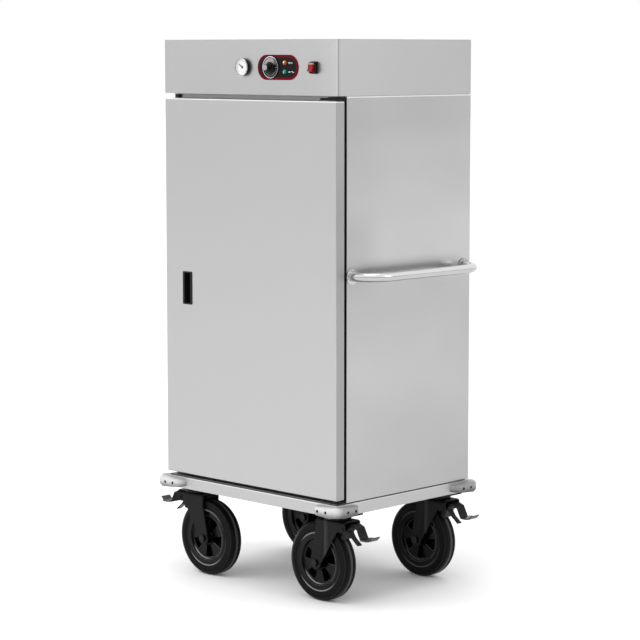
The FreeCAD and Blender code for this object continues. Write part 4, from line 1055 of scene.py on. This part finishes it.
def wave(start, end, swing, steps):
    # One full swing to either side of the straight way from start to end.
    start, run = Vector(start), Vector(end) - Vector(start)
    aside = Vector((run.y, -run.x)).normalized() * swing
    shares = [step / steps for step in range(steps + 1)]
    return [start + run * share + aside * math.sin(2 * math.pi * share) for share in shares]


marks = {"stroke": 0.0013, "lift": 0.0003, "tall": 0.0044, "heat": (0.0140, 0.0190, 0.0240, 0.0290),
         "heatSwing": 0.0009, "bar": 0.0135, "ring": 0.0195, "wave": (0.0255, 0.0385), "waveSwing": -0.0016}
top = marks["tall"] / 2
strokes = {"heat_lamp": [wave((x, -top), (x, top), marks["heatSwing"], 12) for x in marks["heat"]],
           "power_lamp": [[(marks["bar"], -top), (marks["bar"], top)],
                          wave((marks["wave"][0], 0), (marks["wave"][1], 0), marks["waveSwing"], 24)]}
marksMesh = bmesh.new()
for node, look in lensTints.items():
    low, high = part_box(node)
    radius = (high.x - low.x) / 2
    centre = middleOf(node)
    centre.y = low.y + lensLook["flange"] + lensLook["dome"]
    profile = [(0, 0), (radius, 0), (radius, lensLook["flange"])]
    profile += [(radius * across, lensLook["flange"] + lensLook["dome"] * up) for across, up in quarter()]
    lensFinish(centre, radius, look)
    turned(node + "Lens", profile, centre, look["finish"], "cabinet", [node], steps=48, smooth=60)
    beside = moved(faceFront, (centre.x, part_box("control_plate")[0].y, centre.z))
    for stroke in strokes[node]:
        slab(marksMesh, ribbon(stroke, marks["stroke"]), beside, marks["lift"])
    if node == "power_lamp":
        ring = sleeve(top - marks["stroke"], top, 0, marks["lift"])
        lathe(marksMesh, ring, beside @ Vector((marks["ring"], 0, 0)), toFront, steps=32)
settle(marksMesh, "plateMarks", "mark_white", "cabinet", slot="dial_white")

# Thermostat knob: a bright ring with painted shade, a dark scale with a painted reflection of the light
# above, a grip and its cap

skirt = {"ring": 0.0028, "recess": 0.0012, "hole": 0.01705, "scaleGap": 0.0004, "scaleHalf": 0.0002,
         "rounds": [0, 0.0008, 0.0015, 0.0012, 0.0003, 0, 0], "leanShares": (0.97, -0.10)}
low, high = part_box("knob_skirt")
knobCentre = middleOf("knob_skirt")
knobCentre.y = high.y
radius = (high.x - low.x) / 2
thick = high.y - low.y
face = thick - skirt["recess"]
ringIn = radius - skirt["ring"]
scaleOut = ringIn - skirt["scaleGap"]
knobSpot = Spot(knobCentre)
ringRight, ringBelow = (knobSpot.aside, 0.006, 0.024), (knobSpot.height, -0.004, -0.024)
scaleLit = ((knobSpot.lean(*skirt["leanShares"]), 0.0060, 0.0090),
            (knobSpot.radius, scaleOut - 0.0008, scaleOut - 0.0032))
knobLooks = {
    # Painted shade: the bright ring darker to the right and below
    "skirt_silver": {"level": 0.68, "rough": 0.16, "metal": 1.0, "fades": [
        (-0.68 * 0.60, ringRight), (-0.68 * 0.40, ringBelow), (0.68 * 0.60 * 0.40, ringRight, ringBelow)]},
    # Painted reflection: bright where the scale mirrors the room above; painted shade at its rim and to the
    # right
    "knob_scale": {"level": 0.006, "rough": 0.22, "sheen": 0.25, "fades": [
        (0.30, *scaleLit), (-0.30 * 0.75, *scaleLit, (knobSpot.aside, 0.010, 0.017))]},
}
for name, look in knobLooks.items():
    levelFinish(name, **look)
profile = [(skirt["hole"], 0), (radius, 0), (radius, thick), (ringIn, thick), (ringIn, face),
           (skirt["hole"], face), (skirt["hole"], 0)]
turned("knobSkirt", softened(profile, skirt["rounds"]), knobCentre, "skirt_silver", "knob", ["knob_skirt"])
profile = sleeve(skirt["hole"], scaleOut, face - skirt["scaleHalf"], face + skirt["scaleHalf"])
turned("knobScale", profile, knobCentre, "knob_scale", "knob", slot="plate_black")
onScale = knobCentre - Vector((0, face + skirt["scaleHalf"], 0))
tickSet("knobTicks", "knob_cap", "dial_white", "knob", Count=25, Start=math.radians(155),
        Step=math.radians(-13), Radius=0.0255, Length=0.0034, Width=0.0009, Depth=0.0003, Every=4,
        Stretch=0.7, Centre=onScale)
grip = {"edge": 0.0004, "capRadius": 0.0090, "cap": 0.0008, "capEdge": 0.0004}
dressed("knob_grip", "knobGrip", "black_plastic", "knob", grip["edge"])
profile = [(0, grip["cap"]), (grip["capRadius"], grip["cap"]), (grip["capRadius"], 0)]
onGrip = (knobCentre.x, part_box("knob_grip")[0].y, knobCentre.z)
cap = softened(profile, grip["capEdge"], steps=3)
turned("knobCap", cap, onGrip, "knob_cap", "knob", steps=48, slot="skirt_silver")

# Thermometer: a black case with a chrome bezel, a white well, ticks and a needle

gauge = {"radius": 0.028, "reach": 0.014, "bezel": 0.0014, "bezelDeep": 0.004, "bezelLip": 0.0003,
         "gap": 0.0001, "lens": 0.0027, "wellDeep": 0.005, "wellWall": 0.0004, "wellInset": 0.0003,
         "edge": 0.0005, "bezelRounds": [0, 0.0004, 0.0014, 0.0008, 0], "tickLift": 0.0004}
gaugeCentre = middleOf("gauge_case")
gaugeCentre.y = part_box("header_front")[0].y
reach, seat = gauge["reach"], gauge["reach"] - gauge["bezelDeep"]
lens = reach - gauge["lens"]
floor = lens - gauge["wellDeep"]
step = gauge["radius"] - gauge["bezel"]
well = step - gauge["bezel"] / 2
profile = [(0, 0), (gauge["radius"], 0), (gauge["radius"], seat), (step, seat), (step, lens), (well, lens),
           (well, floor), (0, floor)]
profile = softened(profile, gauge["edge"], steps=2)
turned("gaugeCase", profile, gaugeCentre, "black_plastic", "cabinet", ["gauge_case"])
lip = gauge["radius"] + gauge["bezelLip"]
foot = step + gauge["gap"]
profile = [(foot, seat), (lip, seat), (lip, reach), (step, reach), (foot, seat)]
turned("gaugeBezel", softened(profile, gauge["bezelRounds"]), gaugeCentre, "gauge_chrome", "cabinet")
wellOut = well - gauge["gap"]
profile = sleeve(wellOut - gauge["wellWall"], wellOut, floor + gauge["wellInset"], lens - gauge["wellInset"])
turned("gaugeSleeve", profile, gaugeCentre, "dial_white", "cabinet")
needle = {"hub": 0.0042, "half": 0.0017, "tip": 0.0009, "tail": 0.0050}
low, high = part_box("gauge_needle")
onDial = (gaugeCentre.x, high.y + gauge["tickLift"], gaugeCentre.z)
tickSet("gaugeTicks", "mark_black", "needle_black", "cabinet", Count=28, Start=math.radians(225),
        Step=math.radians(-10), Radius=0.0205, Length=0.0024, Width=0.0005, Depth=0.0003, Every=9,
        Stretch=0.6, Centre=onDial)
arrows = [vert.co - gaugeCentre for vert in frame["nodes"]["gauge_needle"].data.vertices]
tip = max(arrows, key=lambda arrow: arrow.length)
ahead = Vector((tip.x, tip.z))
aside = Vector((-tip.z, tip.x)).normalized()
tail = ahead.normalized() * -needle["tail"]
outline = [tail + aside * needle["half"], tail - aside * needle["half"], ahead - aside * needle["tip"],
           ahead + aside * needle["tip"]]
pivot = Vector((gaugeCentre.x, high.y, gaugeCentre.z))
bm = bmesh.new()
slab(bm, outline, moved(faceFront, pivot), high.y - low.y)
lathe(bm, disc(needle["hub"], 0, high.y - low.y), pivot, toFront, steps=32)
settle(bm, "gaugeNeedle", "needle_black", "needle", ["gauge_needle"])

# Power switch, whose top has a pale painted highlight, and the inlet at the back

rocker = {"red": (0.22, 0.002, 0.004), "pale": (0.42, 0.25, 0.19), "band": (0.0075, 0.0030)}
rockerFinish = mottled("rocker_red", rough=0.22, sheen=0.16, bump=0.0)[0]
# Painted highlight: a pale band along the rocker's top
start, end = [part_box("switch_rocker")[1].z - drop for drop in rocker["band"]]
band = rockerFinish.along("Z").ramp(start, end)
rockerFinish.vary("Base Color", rockerFinish.tinted(band, colour(rocker["red"]), colour(rocker["pale"])))
switchCopies = {"switch_housing": ("switchHousing", "black_plastic", "cabinet", 0.0006, 3),
                "switch_rocker": ("switchRocker", "rocker_red", "rocker", 0.0008, 3),
                "power_inlet": ("powerInlet", "black_plastic", "cabinet", 0.0006, 3)}
for node, look in switchCopies.items():
    dressed(node, *look)
print("controls made")

# Stage, light and camera

bm = bmesh.new()
bmesh.ops.create_grid(bm, x_segments=1, y_segments=1, size=40.0)
floorObject = linked("floor", meshOf(bm, "floor"))
paper = Finish("floorPaper", {"Base Color": colour(0.93), "Roughness": 0.9, "Specular IOR Level": 0.1})
floorObject.data.materials.append(paper.material)

lamps = {
    "key": {"place": (-3.2, -4.6, 4.2), "aim": (0, 0, 0.9), "size": 3.6, "power": 60.0},
    "top": {"place": (0.3, -0.2, 5.2), "aim": (0, 0, 0), "size": 2.0, "power": 52.0},
    "right": {"place": (5.2, 2.2, 3.4), "aim": (0, 0, 0.9), "size": 3.0, "power": 30.0},
}
for name, lamp in lamps.items():
    data = bpy.data.lights.new(name, "AREA")
    data.shape = "SQUARE"
    data.size = lamp["size"]
    data.energy = lamp["power"]
    light = linked(name, data)
    light.location = lamp["place"]
    aim = Vector(lamp["aim"]) - Vector(lamp["place"])
    light.rotation_euler = aim.to_track_quat("-Z", "Y").to_euler()

# A soft sky that darkens to the right and back, and plain white where the camera or a mirror sees it
studio = {"soft": 1.36, "shade": -0.62, "white": 1.0, "towards": (0.75, 0.66), "shadeFade": (-0.1, 0.9)}
world = bpy.data.worlds.new("studio")
bpy.context.scene.world = world
world.use_nodes = True
world.node_tree.nodes.clear()
sky = Nodes(world.node_tree)
toward = sky.node("ShaderNodeTexCoord", {}, {}, "Generated")
parts = [sky.node("ShaderNodeSeparateXYZ", {}, {0: toward}, axis) for axis in "XY"]
lean = parts[0] * studio["towards"][0] + parts[1] * studio["towards"][1]
strengths = (lean.ramp(*studio["shadeFade"]) * studio["shade"] + studio["soft"], studio["white"])
soft, white = [sky.node("ShaderNodeBackground", {}, {"Color": colour(1.0), "Strength": strength})
               for strength in strengths]
seen = None
for label in ("Is Camera Ray", "Is Glossy Ray", "Is Transmission Ray"):
    ray = sky.node("ShaderNodeLightPath", {}, {}, label)
    seen = ray.maths("MAXIMUM", seen, ray) if seen else ray
mix = sky.node("ShaderNodeMixShader", {}, {0: seen, 1: soft, 2: white})
sky.node("ShaderNodeOutputWorld", {}, {0: mix})

shot = {"place": (5.1935, -5.3095, 1.7281), "azimuth": 44.2904, "pitch": 6.098, "lens": 128.069,
        "rise": -0.04, "sensor": 36.0, "clipEnd": 200.0}
cameraData = bpy.data.cameras.new("camera")
cameraData.lens = shot["lens"]
cameraData.sensor_width = shot["sensor"]
cameraData.shift_y = shot["rise"]
cameraData.clip_end = shot["clipEnd"]
camera = linked("camera", cameraData)
camera.location = shot["place"]
camera.rotation_euler = (math.radians(90 - shot["pitch"]), 0, math.radians(shot["azimuth"]))
bpy.context.scene.camera = camera
bpy.context.scene.view_settings.view_transform = "Standard"
print("stage set")
